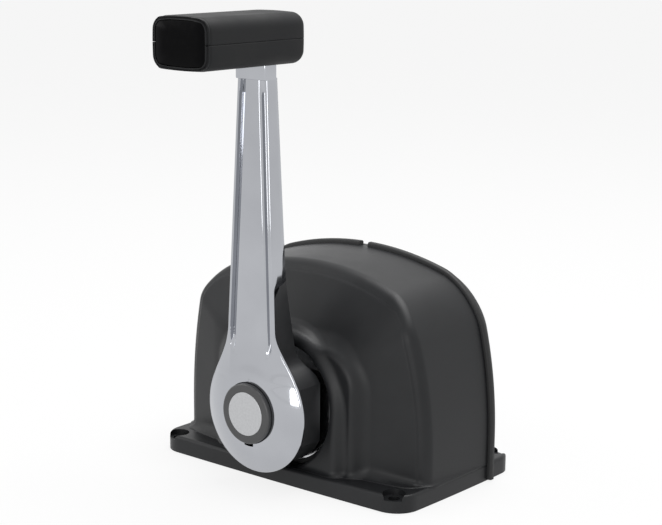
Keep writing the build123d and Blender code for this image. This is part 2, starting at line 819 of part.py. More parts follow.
def hex_nut(flats, y_from, y_to):
    outline = Pos(0, shaft_height) * RegularPolygon(flats / 2, 6, major_radius=False)
    return forward(outline, y_from, y_to) - rod(0, shaft_height, thread_radius + running_clearance,
                                                y_from + 1, y_to - 1)


def hub_nut():
    return hex_nut(hub_nut_flats, hub_floor_y, shaft_front_y + 0.4)


def throttle_nut():
    return hex_nut(throttle_nut_flats, throttle_arm_y + 5.0, throttle_arm_y)


def shaft_spacers():
    """Sleeves that keep the gear, the detent disc and the rear bush apart on the shaft."""
    bore = shaft_radius + running_clearance
    first = ring(0, shaft_height, spacer_radius, bore, detent_y - detent_thickness, gear_y)
    second = ring(0, shaft_height, spacer_radius, bore, rear_plate_y - loose_clearance, detent_y)
    return first + second - key_slot(running_clearance)


# ================================================================ bearings
def hub_washer():
    return ring(0, shaft_height, washer_radius, bush_radius + 2,
                recess_floor_y, recess_floor_y - washer_thickness)


def front_bush():
    """Plain bush in the housing wall."""
    end_y = front_wall_y + housing_wall
    return ring(0, shaft_height, bush_radius, shaft_radius + running_clearance,
                end_y, recess_floor_y - washer_thickness)


def plate_bush():
    rear_y = plate_front_y + plate_thickness
    sleeve = ring(0, shaft_height, bush_radius, shaft_radius + running_clearance,
                  rear_y, plate_front_y)
    collar = ring(0, shaft_height, bush_radius + 2, shaft_radius + running_clearance,
                  rear_y + 1.4, rear_y)
    return sleeve + collar


def rear_bush():
    rear_y = rear_plate_y + rear_plate_thickness
    return ring(0, shaft_height, bush_radius, shaft_radius + running_clearance,
                rear_y, rear_plate_y)


# ================================================================ gears
def involute(angle):
    return math.tan(angle) - angle


def gear_outline(teeth, first_tooth, count, direction):
    """Spur gear outline with count teeth centred on a direction, plain root circle elsewhere."""
    pressure = math.radians(pressure_angle_degrees)
    pitch = gear_module * teeth / 2
    base = pitch * math.cos(pressure)
    tip = pitch + tooth_addendum * gear_module
    root = pitch - (tooth_addendum + 0.25) * gear_module
    half_tooth = math.pi / (2 * teeth) - tooth_backlash / (2 * pitch)
    step = 2 * math.pi / teeth
    start = max(base, root)

    def flank_angle(radius):
        return half_tooth + involute(pressure) - involute(math.acos(base / radius))

    def point(radius, angle):
        return (radius * math.cos(angle), radius * math.sin(angle))

    with BuildSketch() as outline:
        Circle(root)
        for index in range(count):
            centre = direction + (first_tooth + index) * step
            radii = [start, (start + tip) / 2, tip]
            right = [point(r, centre - flank_angle(r)) for r in radii]
            left = [point(r, centre + flank_angle(r)) for r in reversed(radii)]
            foot_right = point(root - 0.4, centre - flank_angle(start) - 0.01)
            foot_left = point(root - 0.4, centre + flank_angle(start) + 0.01)
            with BuildLine():
                Line(foot_right, right[0])
                Spline(*right)
                ThreePointArc(right[-1], point(tip, centre), left[0])
                Spline(*left)
                Line(left[-1], foot_left)
                Line(foot_left, foot_right)
            make_face()
    return outline.sketch


def drive_gear():
    """Pinion on the main shaft; one tooth points at the shift shaft."""
    direction = math.radians(shift_direction_degrees)
    outline = gear_outline(drive_teeth, 0, drive_teeth, direction)
    gear = forward(Pos(0, shaft_height) * outline, gear_y, gear_y - gear_thickness)
    gear = gear - rod(0, shaft_height, shaft_radius + running_clearance, 0, 2 * shaft_front_y)
    return gear - key_slot(running_clearance)


def arm_outline(x0, z0, r0, x1, z1, r1):
    """Two round ends joined by their outer tangents."""
    with BuildSketch() as outline:
        with BuildLine():
            CenterArc((x0, z0), r0, 0, 360)
            CenterArc((x1, z1), r1, 0, 360)
        make_hull()
    return outline.sketch


def shift_gear():
    """Toothed sector with the shift cable arm on its far side; a tooth space faces the pinion."""
    direction = math.radians(shift_direction_degrees + 180)
    first = -shift_sector_teeth / 2
    outline = gear_outline(shift_teeth, first, shift_sector_teeth + 1, direction)
    disc = forward(Pos(shift_x, shift_z) * outline, gear_y, gear_y - gear_thickness)
    arm_face = arm_outline(shift_x, shift_z, arm_root_radius, shift_x - shift_arm_length, shift_z,
                           arm_end_radius)
    arm = forward(arm_face, gear_y, gear_y - gear_thickness / 2)
    gear = disc + arm
    gear = gear - rod(shift_x, shift_z, shift_shaft_radius + running_clearance, 0, -60)
    hole_radius = cable_stud_radius + running_clearance
    gear = gear - rod(shift_x - shift_arm_length, shift_z, hole_radius, 0, -60)
    for angle in (60, 120, 240):
        x = shift_x + 0.62 * gear_centres * 0.72 * math.cos(math.radians(angle))
        z = shift_z + 0.62 * gear_centres * 0.72 * math.sin(math.radians(angle))
        gear = gear - rod(x, z, 3.6, 0, -60)
    return gear


def cable_stud(x, z, y_arm_front, y_arm_back):
    """Riveted stud that a cable eye drops over."""
    shank = rod(x, z, cable_stud_radius, y_arm_back + cable_stud_length, y_arm_front)
    collar = rod(x, z, cable_stud_radius + 1.5, y_arm_back + 1.5, y_arm_back)
    groove = ring(x, z, cable_stud_radius + 1, cable_stud_radius - 0.6,
                  y_arm_back + cable_stud_length - 1.5, y_arm_back + cable_stud_length - 2.5)
    return shank + collar - groove


def shift_stud():
    return cable_stud(shift_x - shift_arm_length, shift_z, gear_y - gear_thickness / 2, gear_y)


def shift_shaft():
    """Fixed shaft riveted into both plates."""
    rear_y = rear_plate_y + rear_plate_thickness
    shaft = rod(shift_x, shift_z, shift_shaft_radius, rear_y + 1.2, plate_front_y)
    head = rod(shift_x, shift_z, shift_shaft_radius + 1.5, rear_y + 1.5, rear_y)
    return shaft + head


def shift_spacers():
    bore = shift_shaft_radius + running_clearance
    plate_rear_y = plate_front_y + plate_thickness
    first = ring(shift_x, shift_z, spacer_radius - 1.5, bore,
                 gear_y - gear_thickness - 0.1, plate_rear_y)
    second = ring(shift_x, shift_z, spacer_radius - 1.5, bore, rear_plate_y, gear_y + 0.1)
    return first + second


# ================================================================ throttle side
def throttle_arm():
    end_z = shaft_height + throttle_arm_length
    outline = arm_outline(0, shaft_height, arm_root_radius, 0, end_z, arm_end_radius)
    arm = forward(outline, throttle_arm_y, throttle_arm_y - throttle_arm_thickness)
    arm = arm - square_rod(shaft_square + 2 * running_clearance, 40, -20)
    return arm - rod(0, end_z, cable_stud_radius + running_clearance, 40, -20)


def throttle_stud():
    return cable_stud(0, shaft_height + throttle_arm_length,
                      throttle_arm_y - throttle_arm_thickness, throttle_arm_y)


# ================================================================ detent
def detent_disc():
    disc = rod(0, shaft_height, detent_radius, detent_y, detent_y - detent_thickness)
    disc = disc - rod(0, shaft_height, shaft_radius + running_clearance, 0, 2 * shaft_front_y)
    depth_radius = detent_radius + detent_notch_radius / 3
    for angle in detent_notch_angles:
        x = depth_radius * math.cos(math.radians(angle))
        z = shaft_height + depth_radius * math.sin(math.radians(angle))
        disc = disc - rod(x, z, detent_notch_radius, 0, 2 * shaft_front_y)
    notch_z = shaft_height - detent_radius + switch_notch_depth
    disc = disc - box_between(-4, 4, -40, 0, notch_z - 10, notch_z)
    return disc - key_slot(running_clearance)


def detent_axis_y():
    return detent_y - detent_thickness / 2


def detent_block():
    """Block on the mechanism plate that guides the spring-loaded detent plunger."""
    plate_rear_y = plate_front_y + plate_thickness
    block = box_between(detent_block_x[0], detent_block_x[1], plate_rear_y, detent_y + 3,
                        shaft_height - detent_block_half_height,
                        shaft_height + detent_block_half_height)
    block = fillet(block.edges().filter_by(Axis.Y), 2)
    bore = Cylinder(detent_plunger_radius + running_clearance, 4 * detent_block_x[1])
    block = block - Pos(0, detent_axis_y(), shaft_height) * Rot(0, 90, 0) * bore
    for z in detent_block_screw_heights():
        block = block - rod(detent_screw_x, z, 1.7, 0, -60)
    return block


def detent_block_screw_heights():
    offset = detent_block_half_height - 2.4
    return (shaft_height - offset, shaft_height + offset)


def detent_plunger():
    """Round-nosed plunger, its nose just clear of the detent disc's rim."""
    nose_x = detent_radius + loose_clearance
    body = Pos(nose_x + detent_plunger_length / 2, 0, 0) * Rot(0, 90, 0)
    body = body * Cylinder(detent_plunger_radius, detent_plunger_length)
    body = fillet(body.edges().filter_by(GeomType.CIRCLE).sort_by(Axis.X)[0], 2.6)
    return Pos(0, detent_axis_y(), shaft_height) * body


def detent_spring():
    start = detent_radius + loose_clearance + detent_plunger_length + detent_spring_wire + 0.2
    spring = coil(detent_plunger_radius - 0.8, detent_spring_wire, detent_spring_length, 6)
    return Pos(start, detent_axis_y(), shaft_height) * Rot(0, 90, 0) * spring


def detent_set_screw():
    start = (detent_radius + loose_clearance + detent_plunger_length + 2 * detent_spring_wire
             + detent_spring_length + 0.4)
    length = detent_block_x[1] - start
    screw = Rot(0, 90, 0) * Cylinder(detent_plunger_radius, length)
    socket = Rot(0, 90, 0) * extrude(RegularPolygon(1.5, 6), amount=length)
    socket = Pos(length / 4, 0, 0) * socket
    return Pos(start + length / 2, detent_axis_y(), shaft_height) * (screw - socket)


def detent_screws():
    head_y = detent_y + 3
    screws = []
    for z in detent_block_screw_heights():
        head = rod(detent_screw_x, z, 2.4, head_y + 1.6, head_y)
        shank = rod(detent_screw_x, z, 1.6, head_y, plate_front_y + 1)
        screws.append(head + shank)
    return Part() + screws


# ================================================================ neutral switch
def neutral_switch():
    """Safety switch below the detent disc, on the mechanism plate."""
    y_front = plate_front_y + plate_thickness
    case = box_between(-switch_half_width, switch_half_width, y_front, detent_y + 2,
                       switch_z[0], switch_z[1])
    case = fillet(case.edges().filter_by(Axis.Y), 1)
    bore = Pos(0, detent_axis_y(), switch_z[1]) * Cylinder(switch_plunger_radius
                                                            + running_clearance, 8)
    screws = rod(-8.5, 14.0, 1.6, 0, -60) + rod(8.5, 17.0, 1.6, 0, -60)
    return case - bore - screws


def switch_screws():
    head_y = detent_y + 2
    screws = []
    for x, z in ((-8.5, 14.0), (8.5, 17.0)):
        head = rod(x, z, 2.4, head_y + 1.4, head_y)
        shank = rod(x, z, 1.5, head_y, plate_front_y + 1)
        screws.append(head + shank)
    return Part() + screws


def switch_terminals():
    blades = []
    for z in (12.0, 16.5):
        blade = box_between(switch_half_width, switch_half_width + 6, detent_y - 8, detent_y - 3.2,
                            z, z + 0.8)
        blades.append(blade)
    return Part() + blades


def switch_plunger():
    tip_z = shaft_height - detent_radius - loose_clearance
    length = tip_z - switch_z[1] + 2.4
    plunger = Pos(0, detent_axis_y(), tip_z - length / 2) * Cylinder(switch_plunger_radius, length)
    return fillet(plunger.edges().filter_by(GeomType.CIRCLE).sort_by(Axis.Z)[-1], 1.0)


# ================================================================ plates and brackets
def plate(x_range, z_range, y_rear, thickness):
    width = x_range[1] - x_range[0]
    height = z_range[1] - z_range[0]
    middle = Pos((x_range[0] + x_range[1]) / 2, (z_range[0] + z_range[1]) / 2)
    outline = middle * RectangleRounded(width, height, plate_corner_radius)
    return forward(outline, y_rear, y_rear - thickness)


def mechanism_plate():
    """Front plate, screwed to the housing's inner posts with flush countersunk screws."""
    rear_y = plate_front_y + plate_thickness
    body = plate(plate_x, plate_z, rear_y, plate_thickness)
    body = body - rod(0, shaft_height, bush_radius + running_clearance, 0, -60)
    body = body - rod(shift_x, shift_z, shift_shaft_radius, 0, -60)
    for x, z in pillar_places:
        body = body - rod(x, z, small_screw_radius, 0, -60)
    for x, z in plate_screw_places:
        body = body - countersunk(x, z, rear_y, plate_thickness, 0)
    for z in detent_block_screw_heights():
        body = body - rod(detent_screw_x, z, 1.7, 0, plate_front_y + 1)
    body = body - rod(-8.5, 14.0, 1.6, 0, plate_front_y + 1)
    return body - rod(8.5, 17.0, 1.6, 0, plate_front_y + 1)


def countersunk(x, z, y_head, length, inset):
    """Countersunk screw, or its hole, with the flat head flush at y_head."""
    top = small_screw_radius + 2.4 - inset
    low = small_screw_radius + (seat_clearance if inset == 0 else 0)
    cone_depth = top - low
    cone = Cone(low, top, cone_depth)
    cone = Pos(x, y_head - cone_depth / 2, z) * Rot(-90, 0, 0) * cone
    return cone + rod(x, z, low, y_head - cone_depth / 2, y_head - length)


def plate_screws():
    rear_y = plate_front_y + plate_thickness
    screws = []
    for x, z in plate_screw_places:
        screw = countersunk(x, z, rear_y, plate_thickness + 4.5, seat_clearance)
        screws.append(screw)
    return Part() + screws


def rear_plate():
    rear_y = rear_plate_y + rear_plate_thickness
    body = plate(rear_plate_x, plate_z, rear_y, rear_plate_thickness)
    body = body - rod(0, shaft_height, bush_radius + running_clearance, 40, -60)
    body = body - rod(shift_x, shift_z, shift_shaft_radius + running_clearance, 40, -60)
    for x, z in pillar_places:
        body = body - rod(x, z, small_screw_radius, 40, -60)
    window = Pos(18, 62) * RectangleRounded(16, 18, 4)
    return body - forward(window, 40, -60)


def pillars():
    """Tube spacers between the two plates."""
    plate_rear_y = plate_front_y + plate_thickness
    tubes = []
    for x, z in pillar_places:
        foot_y = plate_rear_y + (bracket_thickness if x < 0 else 0)
        tubes.append(ring(x, z, pillar_radius, small_screw_radius, rear_plate_y, foot_y))
    return Part() + tubes


def pillar_screws():
    head_y = rear_plate_y + rear_plate_thickness
    screws = []
    for x, z in pillar_places:
        if x > 0 and z < 30:
            seat_y = head_y + bracket_thickness
        else:
            seat_y = head_y
        head = rod(x, z, 3.4, seat_y + 2.4, seat_y)
        shank = rod(x, z, small_screw_radius - seat_clearance, seat_y, plate_front_y + 1)
        screws.append(head + shank)
    return Part() + screws


def saddle_block(x, z, y_back, y_front):
    """Block with an upright half-round channel, open to the rear, for a cable's outer hub."""
    block = box_between(x - saddle_width / 2, x + saddle_width / 2, y_front, y_back,
                        z - saddle_height / 2, z + saddle_height / 2)
    channel = Pos(x, y_back, z) * Cylinder(cable_hub_radius, 2 * saddle_height)
    for side in (-1, 1):
        hole = rod(x + side * saddle_screw_offset, z, 1.3, y_back + 1, y_back - 8)
        block = block - hole
    return block - channel


def shift_cable_bracket():
    y_front = plate_front_y + plate_thickness
    y_plate = y_front + bracket_thickness
    right = pillar_places[2][0] + 6
    left = shift_saddle_x - saddle_width / 2
    arm = box_between(left, right, y_front, y_plate, shift_saddle_z - saddle_height / 2,
                      shift_saddle_z + saddle_height / 2)
    arm = arm + box_between(right - 12, right, y_front, y_plate, pillar_places[2][1] - 6,
                            shift_saddle_z)
    saddle = saddle_block(shift_saddle_x, shift_saddle_z, y_plate + saddle_depth, y_front)
    bracket = arm + saddle
    return bracket - rod(pillar_places[2][0], pillar_places[2][1], small_screw_radius, 0, -60)


def throttle_cable_bracket():
    y_front = rear_plate_y + rear_plate_thickness
    y_plate = y_front + bracket_thickness
    right = pillar_places[1][0] + 6
    left = throttle_saddle_x - saddle_width / 2
    arm = box_between(left, right, y_front, y_plate, pillar_places[1][1] - 6,
                      pillar_places[1][1] + 5)
    saddle = saddle_block(throttle_saddle_x, throttle_saddle_z, y_plate + saddle_depth, y_front)
    bracket = arm + saddle
    return bracket - rod(pillar_places[1][0], pillar_places[1][1], small_screw_radius, 40, 0)


def saddle_places():
    """Centre x, z and rear face y of each cable saddle."""
    shift_y = plate_front_y + plate_thickness + bracket_thickness + saddle_depth
    throttle_y = rear_plate_y + rear_plate_thickness + bracket_thickness + saddle_depth
    return ((shift_saddle_x, shift_saddle_z, shift_y), (throttle_saddle_x, throttle_saddle_z, throttle_y))


def saddle_caps():
    """Straps that close the cable saddles."""
    caps = []
    for x, z, y in saddle_places():
        strap = box_between(x - saddle_width / 2, x + saddle_width / 2, y, y + 2,
                            z - saddle_height / 2, z + saddle_height / 2)
        for side in (-1, 1):
            strap = strap - rod(x + side * saddle_screw_offset, z, 1.3, y + 5, y - 5)
        caps.append(strap)
    return Part() + caps


def saddle_screws():
    screws = []
    for x, z, y in saddle_places():
        for side in (-1, 1):
            centre = x + side * saddle_screw_offset
            head = rod(centre, z, 1.5, y + 3.4, y + 2)
            shank = rod(centre, z, 1.2, y + 2, y - 7)
            screws.append(head + shank)
    return Part() + screws


# ================================================================ build every piece
pieces = {
    "front_housing": front_housing(),
    "rear_housing": rear_housing(),
    "edge_seal_right": edge_seal(1),
    "edge_seal_left": edge_seal(-1),
    "cover_screws": cover_screws(),
    "hub_washer": hub_washer(),
    "front_bush": front_bush(),
    "mechanism_plate": mechanism_plate(),
    "plate_screws": plate_screws(),
    "plate_bush": plate_bush(),
    "rear_plate": rear_plate(),
    "rear_bush": rear_bush(),
    "pillars": pillars(),
    "pillar_screws": pillar_screws(),
    "shift_shaft": shift_shaft(),
    "shift_spacers": shift_spacers(),
    "shift_cable_bracket": shift_cable_bracket(),
    "throttle_cable_bracket": throttle_cable_bracket(),
    "saddle_caps": saddle_caps(),
    "saddle_screws": saddle_screws(),
    "detent_block": detent_block(),
    "detent_screws": detent_screws(),
    "detent_set_screw": detent_set_screw(),
    "detent_spring": detent_spring(),
    "detent_plunger": detent_plunger(),
    "neutral_switch": neutral_switch(),
    "switch_screws": switch_screws(),
    "switch_terminals": switch_terminals(),
    "switch_plunger": switch_plunger(),
    "lever_arm": lever_arm(),
    "lever_hub": lever_hub(),
    "hub_nut": hub_nut(),
    "main_shaft": main_shaft(),
    "shaft_key": shaft_key(),
    "drive_gear": drive_gear(),
    "detent_disc": detent_disc(),
    "shaft_spacers": shaft_spacers(),
    "shaft_circlip": shaft_circlip(),
    "throttle_arm": throttle_arm(),
    "throttle_stud": throttle_stud(),
    "throttle_nut": throttle_nut(),
    "shift_gear": shift_gear(),
    "shift_stud": shift_stud(),
    "grip_upper": grip_half(1) - grip_screw_holes(),
    "grip_lower": grip_half(-1) - grip_screw_holes() - lever_tang_slot(),
    "grip_core": grip_core(),
    "grip_pin": grip_pin(),
    "grip_end_cap": grip_end_cap(),
    "grip_screws": grip_screws(),
    "button_ring": button_ring(),
    "button_badge": button_badge(),
    "button_stem": button_stem(),
    "button_spring": button_spring(),
}

for node, shape in pieces.items():
    save(node, shape)
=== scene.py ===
import json
import math

import bmesh
import bpy
import numpy as np
from mathutils import Matrix, Vector


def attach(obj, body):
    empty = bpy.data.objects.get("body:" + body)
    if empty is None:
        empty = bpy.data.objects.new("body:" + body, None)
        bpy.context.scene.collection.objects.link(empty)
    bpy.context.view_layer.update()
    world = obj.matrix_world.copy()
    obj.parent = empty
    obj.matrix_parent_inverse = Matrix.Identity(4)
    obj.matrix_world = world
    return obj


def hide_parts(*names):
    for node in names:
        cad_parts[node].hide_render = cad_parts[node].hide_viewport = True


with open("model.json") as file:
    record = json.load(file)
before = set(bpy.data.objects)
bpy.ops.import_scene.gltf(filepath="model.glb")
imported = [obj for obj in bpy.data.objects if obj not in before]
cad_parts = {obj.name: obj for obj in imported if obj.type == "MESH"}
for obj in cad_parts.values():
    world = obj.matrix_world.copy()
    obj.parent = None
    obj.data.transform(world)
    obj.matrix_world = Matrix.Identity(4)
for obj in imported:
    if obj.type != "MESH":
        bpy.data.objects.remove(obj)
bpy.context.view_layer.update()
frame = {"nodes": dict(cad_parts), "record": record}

# Boat throttle control: black moulded housing, chromed fluted lever, soft-touch T grip.
# Metres, in the frame of the CAD. The lever is on the -Y side and the deck is at z = 0.
# The housing, the lever's casting, the grip and the seals are meshes made here, in place of
# the CAD nodes that each one names. Everything else shown is the CAD as packed.

mm = 0.001


# ---------------------------------------------------------------- colours and nodes
def linear(hex_colour):
    """An sRGB hex value as a linear RGBA colour."""
    channels = []
    for start in (1, 3, 5):
        value = int(hex_colour[start:start + 2], 16) / 255
        channels.append(value / 12.92 if value <= 0.04045 else ((value + 0.055) / 1.055) ** 2.4)
    return (*channels, 1.0)


def add(tree, kind, settings=None, links=None):
    """Adds a node, sets its properties and sockets, and links its inputs."""
    node = tree.nodes.new(kind)
    for name, value in (settings or {}).items():
        if isinstance(name, str) and hasattr(node, name):
            setattr(node, name, value)
        else:
            node.inputs[name].default_value = value
    for name, socket in (links or {}).items():
        tree.links.new(socket, node.inputs[name])
    return node


def new_material(name, shader_settings):
    """A material with one Principled shader, and its tree."""
    material = bpy.data.materials.new(name)
    material.use_nodes = True
    tree = material.node_tree
    tree.nodes.clear()
    shader = add(tree, "ShaderNodeBsdfPrincipled", shader_settings)
    add(tree, "ShaderNodeOutputMaterial", links={"Surface": shader.outputs["BSDF"]})
    place = add(tree, "ShaderNodeTexCoord").outputs["Object"]
    return material, tree, shader, place


def grain(tree, place, size_mm, detail=2.0, stretch=(1.0, 1.0, 1.0)):
    """Noise whose lumps are about size_mm across, stretched along an axis where that is under 1."""
    scaled = add(tree, "ShaderNodeMapping", {"Scale": stretch}, {"Vector": place})
    return add(tree, "ShaderNodeTexNoise", {"Scale": 1 / (size_mm * mm), "Detail": detail},
               {"Vector": scaled.outputs["Vector"]}).outputs["Fac"]


def remap(tree, value, low, high, start=0.3, end=0.7):
    """A value between start and end spread over low to high."""
    return add(tree, "ShaderNodeMapRange",
               {"From Min": start, "From Max": end, "To Min": low, "To Max": high},
               {"Value": value}).outputs["Result"]


def bump(tree, shader, height, distance_mm, strength=1.0, below=None):
    """Relief of distance_mm on the shader, over another relief where one is given."""
    links = {"Height": height}
    if below is not None:
        links["Normal"] = below
    relief = add(tree, "ShaderNodeBump", {"Strength": strength, "Distance": distance_mm * mm}, links)
    tree.links.new(relief.outputs["Normal"], shader.inputs["Normal"])
    return relief.outputs["Normal"]


def two_tone(tree, shader, value, dark, light):
    """The shader's colour, from dark to light by value."""
    mix = add(tree, "ShaderNodeMix", {"data_type": "RGBA"}, {"Factor": value})
    mix.inputs[6].default_value = linear(dark)
    mix.inputs[7].default_value = linear(light)
    tree.links.new(mix.outputs[2], shader.inputs["Base Color"])


# ---------------------------------------------------------------- plastics and rubber
def moulded_abs():
    """Moulded ABS with a fine spark-eroded texture: semi-matt, with soft broad highlights.

    Its specular level is below a real plastic's 0.5, to stay dark in a white surround.
    """
    material, tree, shader, place = new_material(
        "moulded_abs", {"IOR": 1.48, "Roughness": 0.42, "Specular IOR Level": 0.34})
    spark = grain(tree, place, 0.35, 3.0)
    flow = grain(tree, place, 22.0, 3.0)
    two_tone(tree, shader, remap(tree, flow, 0.0, 1.0), "#17181A", "#1E1F21")
    rough = add(tree, "ShaderNodeMath", {"operation": "MULTIPLY_ADD", 1: 0.5},
                {0: remap(tree, spark, 0.30, 0.50), 2: remap(tree, flow, 0.18, 0.27)})
    tree.links.new(rough.outputs["Value"], shader.inputs["Roughness"])
    bump(tree, shader, spark, 0.03, 0.5)
    return material


def satin_nylon():
    """Glass-filled nylon from a smooth mould: satin black, a little darker than the housing."""
    material, tree, shader, place = new_material(
        "satin_nylon", {"IOR": 1.55, "Roughness": 0.34, "Specular IOR Level": 0.8})
    fine = grain(tree, place, 0.4, 2.0)
    flow = grain(tree, place, 12.0, 2.0)
    two_tone(tree, shader, remap(tree, flow, 0.0, 1.0), "#1C1D1F", "#252628")
    tree.links.new(remap(tree, fine, 0.30, 0.44), shader.inputs["Roughness"])
    bump(tree, shader, fine, 0.02, 0.4)
    return material


def soft_touch_polyurethane():
    """Soft-touch polyurethane paint on the grip shells: very matt, with a faint powdery sheen.

    Its specular level is low for the same reason as the housing's.
    """
    material, tree, shader, place = new_material(
        "soft_touch_polyurethane",
        {"IOR": 1.45, "Roughness": 0.62, "Specular IOR Level": 0.28, "Sheen Weight": 0.04,
         "Sheen Roughness": 0.5})
    fine = grain(tree, place, 0.5, 3.0)
    rub = grain(tree, place, 18.0, 3.0)
    two_tone(tree, shader, remap(tree, rub, 0.0, 1.0), "#111213", "#18191B")
    tree.links.new(remap(tree, rub, 0.54, 0.68), shader.inputs["Roughness"])
    bump(tree, shader, fine, 0.03, 0.5)
    return material


def gloss_acrylic():
    """Black acrylic panel in the grip's end: smooth and near black, with hardly any reflection.

    Its specular level is far below real acrylic's 0.5, to look as dark as in the photo.
    """
    material, tree, shader, place = new_material(
        "gloss_acrylic", {"IOR": 1.49, "Roughness": 0.16, "Specular IOR Level": 0.05})
    scuff = grain(tree, place, 3.0, 4.0)
    two_tone(tree, shader, remap(tree, scuff, 0.0, 1.0), "#020203", "#040405")
    tree.links.new(remap(tree, scuff, 0.12, 0.22), shader.inputs["Roughness"])
    return material


def extruded_epdm():
    """EPDM rubber of the joint seals: matt black with faint lengthwise flow."""
    material, tree, shader, place = new_material(
        "extruded_epdm", {"IOR": 1.5, "Roughness": 0.55})
    fine = grain(tree, place, 0.5, 2.0)
    flow = grain(tree, place, 8.0, 2.0, (1.0, 4.0, 1.0))
    two_tone(tree, shader, remap(tree, flow, 0.0, 1.0), "#0C0D0E", "#121314")
    tree.links.new(remap(tree, fine, 0.46, 0.62), shader.inputs["Roughness"])
    bump(tree, shader, fine, 0.02, 0.4)
    return material


def acetal():
    """Acetal block, bush or switch body: smooth, waxy moulded plastic."""
    material, tree, shader, place = new_material(
        "acetal", {"IOR": 1.48, "Roughness": 0.45})
    flow = grain(tree, place, 6.0, 2.0)
    two_tone(tree, shader, remap(tree, flow, 0.0, 1.0), "#2A2B2D", "#323335")
    tree.links.new(remap(tree, flow, 0.40, 0.52), shader.inputs["Roughness"])
    return material


def grey_polypropylene():
    """Glass-filled polypropylene core of the grip: mid grey with a dull skin."""
    material, tree, shader, place = new_material(
        "grey_polypropylene", {"IOR": 1.49, "Roughness": 0.5})
    flow = grain(tree, place, 5.0, 3.0)
    two_tone(tree, shader, remap(tree, flow, 0.0, 1.0), "#6E6F71", "#7C7D7F")
    tree.links.new(remap(tree, flow, 0.42, 0.58), shader.inputs["Roughness"])
    return material


# ---------------------------------------------------------------- metals
def metal(name, dark, light, roughness, size_mm, stretch=(1.0, 1.0, 1.0), relief_mm=0.0):
    """A bare or plated metal whose roughness and tone wander over size_mm."""
    material, tree, shader, place = new_material(name, {"Metallic": 1.0})
    wander = grain(tree, place, size_mm, 3.0, stretch)
    two_tone(tree, shader, remap(tree, wander, 0.0, 1.0), dark, light)
    low, high = roughness
    tree.links.new(remap(tree, wander, low, high), shader.inputs["Roughness"])
    if relief_mm:
        bump(tree, shader, wander, relief_mm, 0.6)
    return material


metals = {
    # Bright decorative chrome on a polished zinc casting: mirror-like, faint buffing haze.
    "chrome_plate": ("polished_chrome", "#ADAFB4", "#B4B6BB", (0.04, 0.09), 30.0),
    # Satin-anodised aluminium disc: even, soft grey.
    "satin_silver": ("satin_anodised_aluminium", "#B9BABC", "#C4C5C7", (0.34, 0.42), 1.2),
    # Bright rolled stainless washer, turned face.
    "bright_washer_steel": ("bright_stainless", "#C8C9CB", "#D6D7D9", (0.12, 0.22), 2.0),
    # Zinc-plated and passivated fasteners.
    "zinc_steel": ("zinc_plated_steel", "#A9ADB3", "#BFC2C6", (0.25, 0.40), 1.5),
    # Turned and milled carbon steel with fine tool marks.
    "machined_steel": ("machined_steel", "#8E8F92", "#A5A6A8", (0.26, 0.40), 0.8,
                       (1.0, 6.0, 1.0), 0.01),
    # Drawn spring wire.
    "spring_steel": ("drawn_spring_steel", "#85878A", "#9B9DA0", (0.22, 0.34), 0.6),
    # Die-cast aluminium plates with a tumbled skin.
    "cast_aluminium": ("tumbled_cast_aluminium", "#8F9193", "#A6A8AA", (0.45, 0.62), 1.0,
                       (1.0, 1.0, 1.0), 0.04),
    # Oil-filled sintered bronze bushes.
    "bronze": ("sintered_bronze", "#8A6236", "#A67B48", (0.38, 0.52), 0.4,
               (1.0, 1.0, 1.0), 0.02),
    # Tinned brass terminals.
    "brass_terminal": ("tinned_brass", "#B9A468", "#CDBA84", (0.25, 0.38), 1.0),
}

finishes = {slot: metal(*facts) for slot, facts in metals.items()}
finishes["black_housing_plastic"] = moulded_abs()
finishes["black_rubber"] = extruded_epdm()
finishes["black_hub_plastic"] = satin_nylon()
finishes["black_grip_plastic"] = soft_touch_polyurethane()
finishes["gloss_black_plastic"] = gloss_acrylic()
finishes["grey_core_plastic"] = grey_polypropylene()
finishes["switch_plastic"] = acetal()

for part in frame["record"]["subparts"]:
    frame["nodes"][part["node"]].material_slots[0].material = finishes[part["material_slot"]]


# ---------------------------------------------------------------- forms by distance fields
# Lengths below are in millimetres until a mesh is made. A field is below zero inside the form.
joint_y = 26.0
draft = math.tan(math.radians(2.4))
arch_half_width = 88.8
arch_upright_height = 25.0
arch_shoulder = (75.6, 104.2)
arch_top_height = 119.9
arch_corner_blend = 16.0
front_wall_y = -38.5
front_panel_half_width = 52.5
front_sweep = math.radians(15.5)
front_kink_height = 77.0
front_lean = math.radians(23.0)
facet_blend = 2.4
rim_round = 4.5
border_width = 5.0
border_step = 0.7
rear_wall_y = 33.7
rear_round = 4.0
flange_top = 9.6
shaft_height = 43.1
recess_radius = 35.5
recess_floor_y = -41.6
recess_corner = ((0.0, 0.6), (0.2, 0.2), (0.8, 0.0))
recess_hole_radius = 12.0
lip_radius = 41.0
lip_front_y = -47.5
lip_lean = math.tan(math.radians(2.5))
lip_draft = math.tan(math.radians(5.5))
lip_round = 5.0
plinth_half_width = 50.5
plinth_top = 79.0
plinth_corner = 23.0
plinth_front_y = -44.0
plinth_slope = 0.5
plinth_round = 2.5
root_blend = 5.0
lip_root_blend = 3.0
panel_edge_round = 0.8
cove_stops_y = (-50, -44, -38, -30, joint_y)
cove_radii = (2.5, 3.0, 7.0, 2.8, 0.2)
bisections = 34


def rounded_cut(a, b, radius):
    """What lies inside both fields, with a round edge where they meet."""
    over = np.hypot(np.maximum(radius + a, 0), np.maximum(radius + b, 0))
    return np.minimum(-radius, np.maximum(a, b)) + over


def rounded_join(a, b, radius):
    """What lies inside either field, with a cove where they meet."""
    return -rounded_cut(-a, -b, radius)


def soft_max(a, b, width):
    """The larger of two values, eased over a width where they are about equal."""
    near = np.maximum(width - np.abs(a - b), 0) / width
    return np.maximum(a, b) + near * near * width / 4


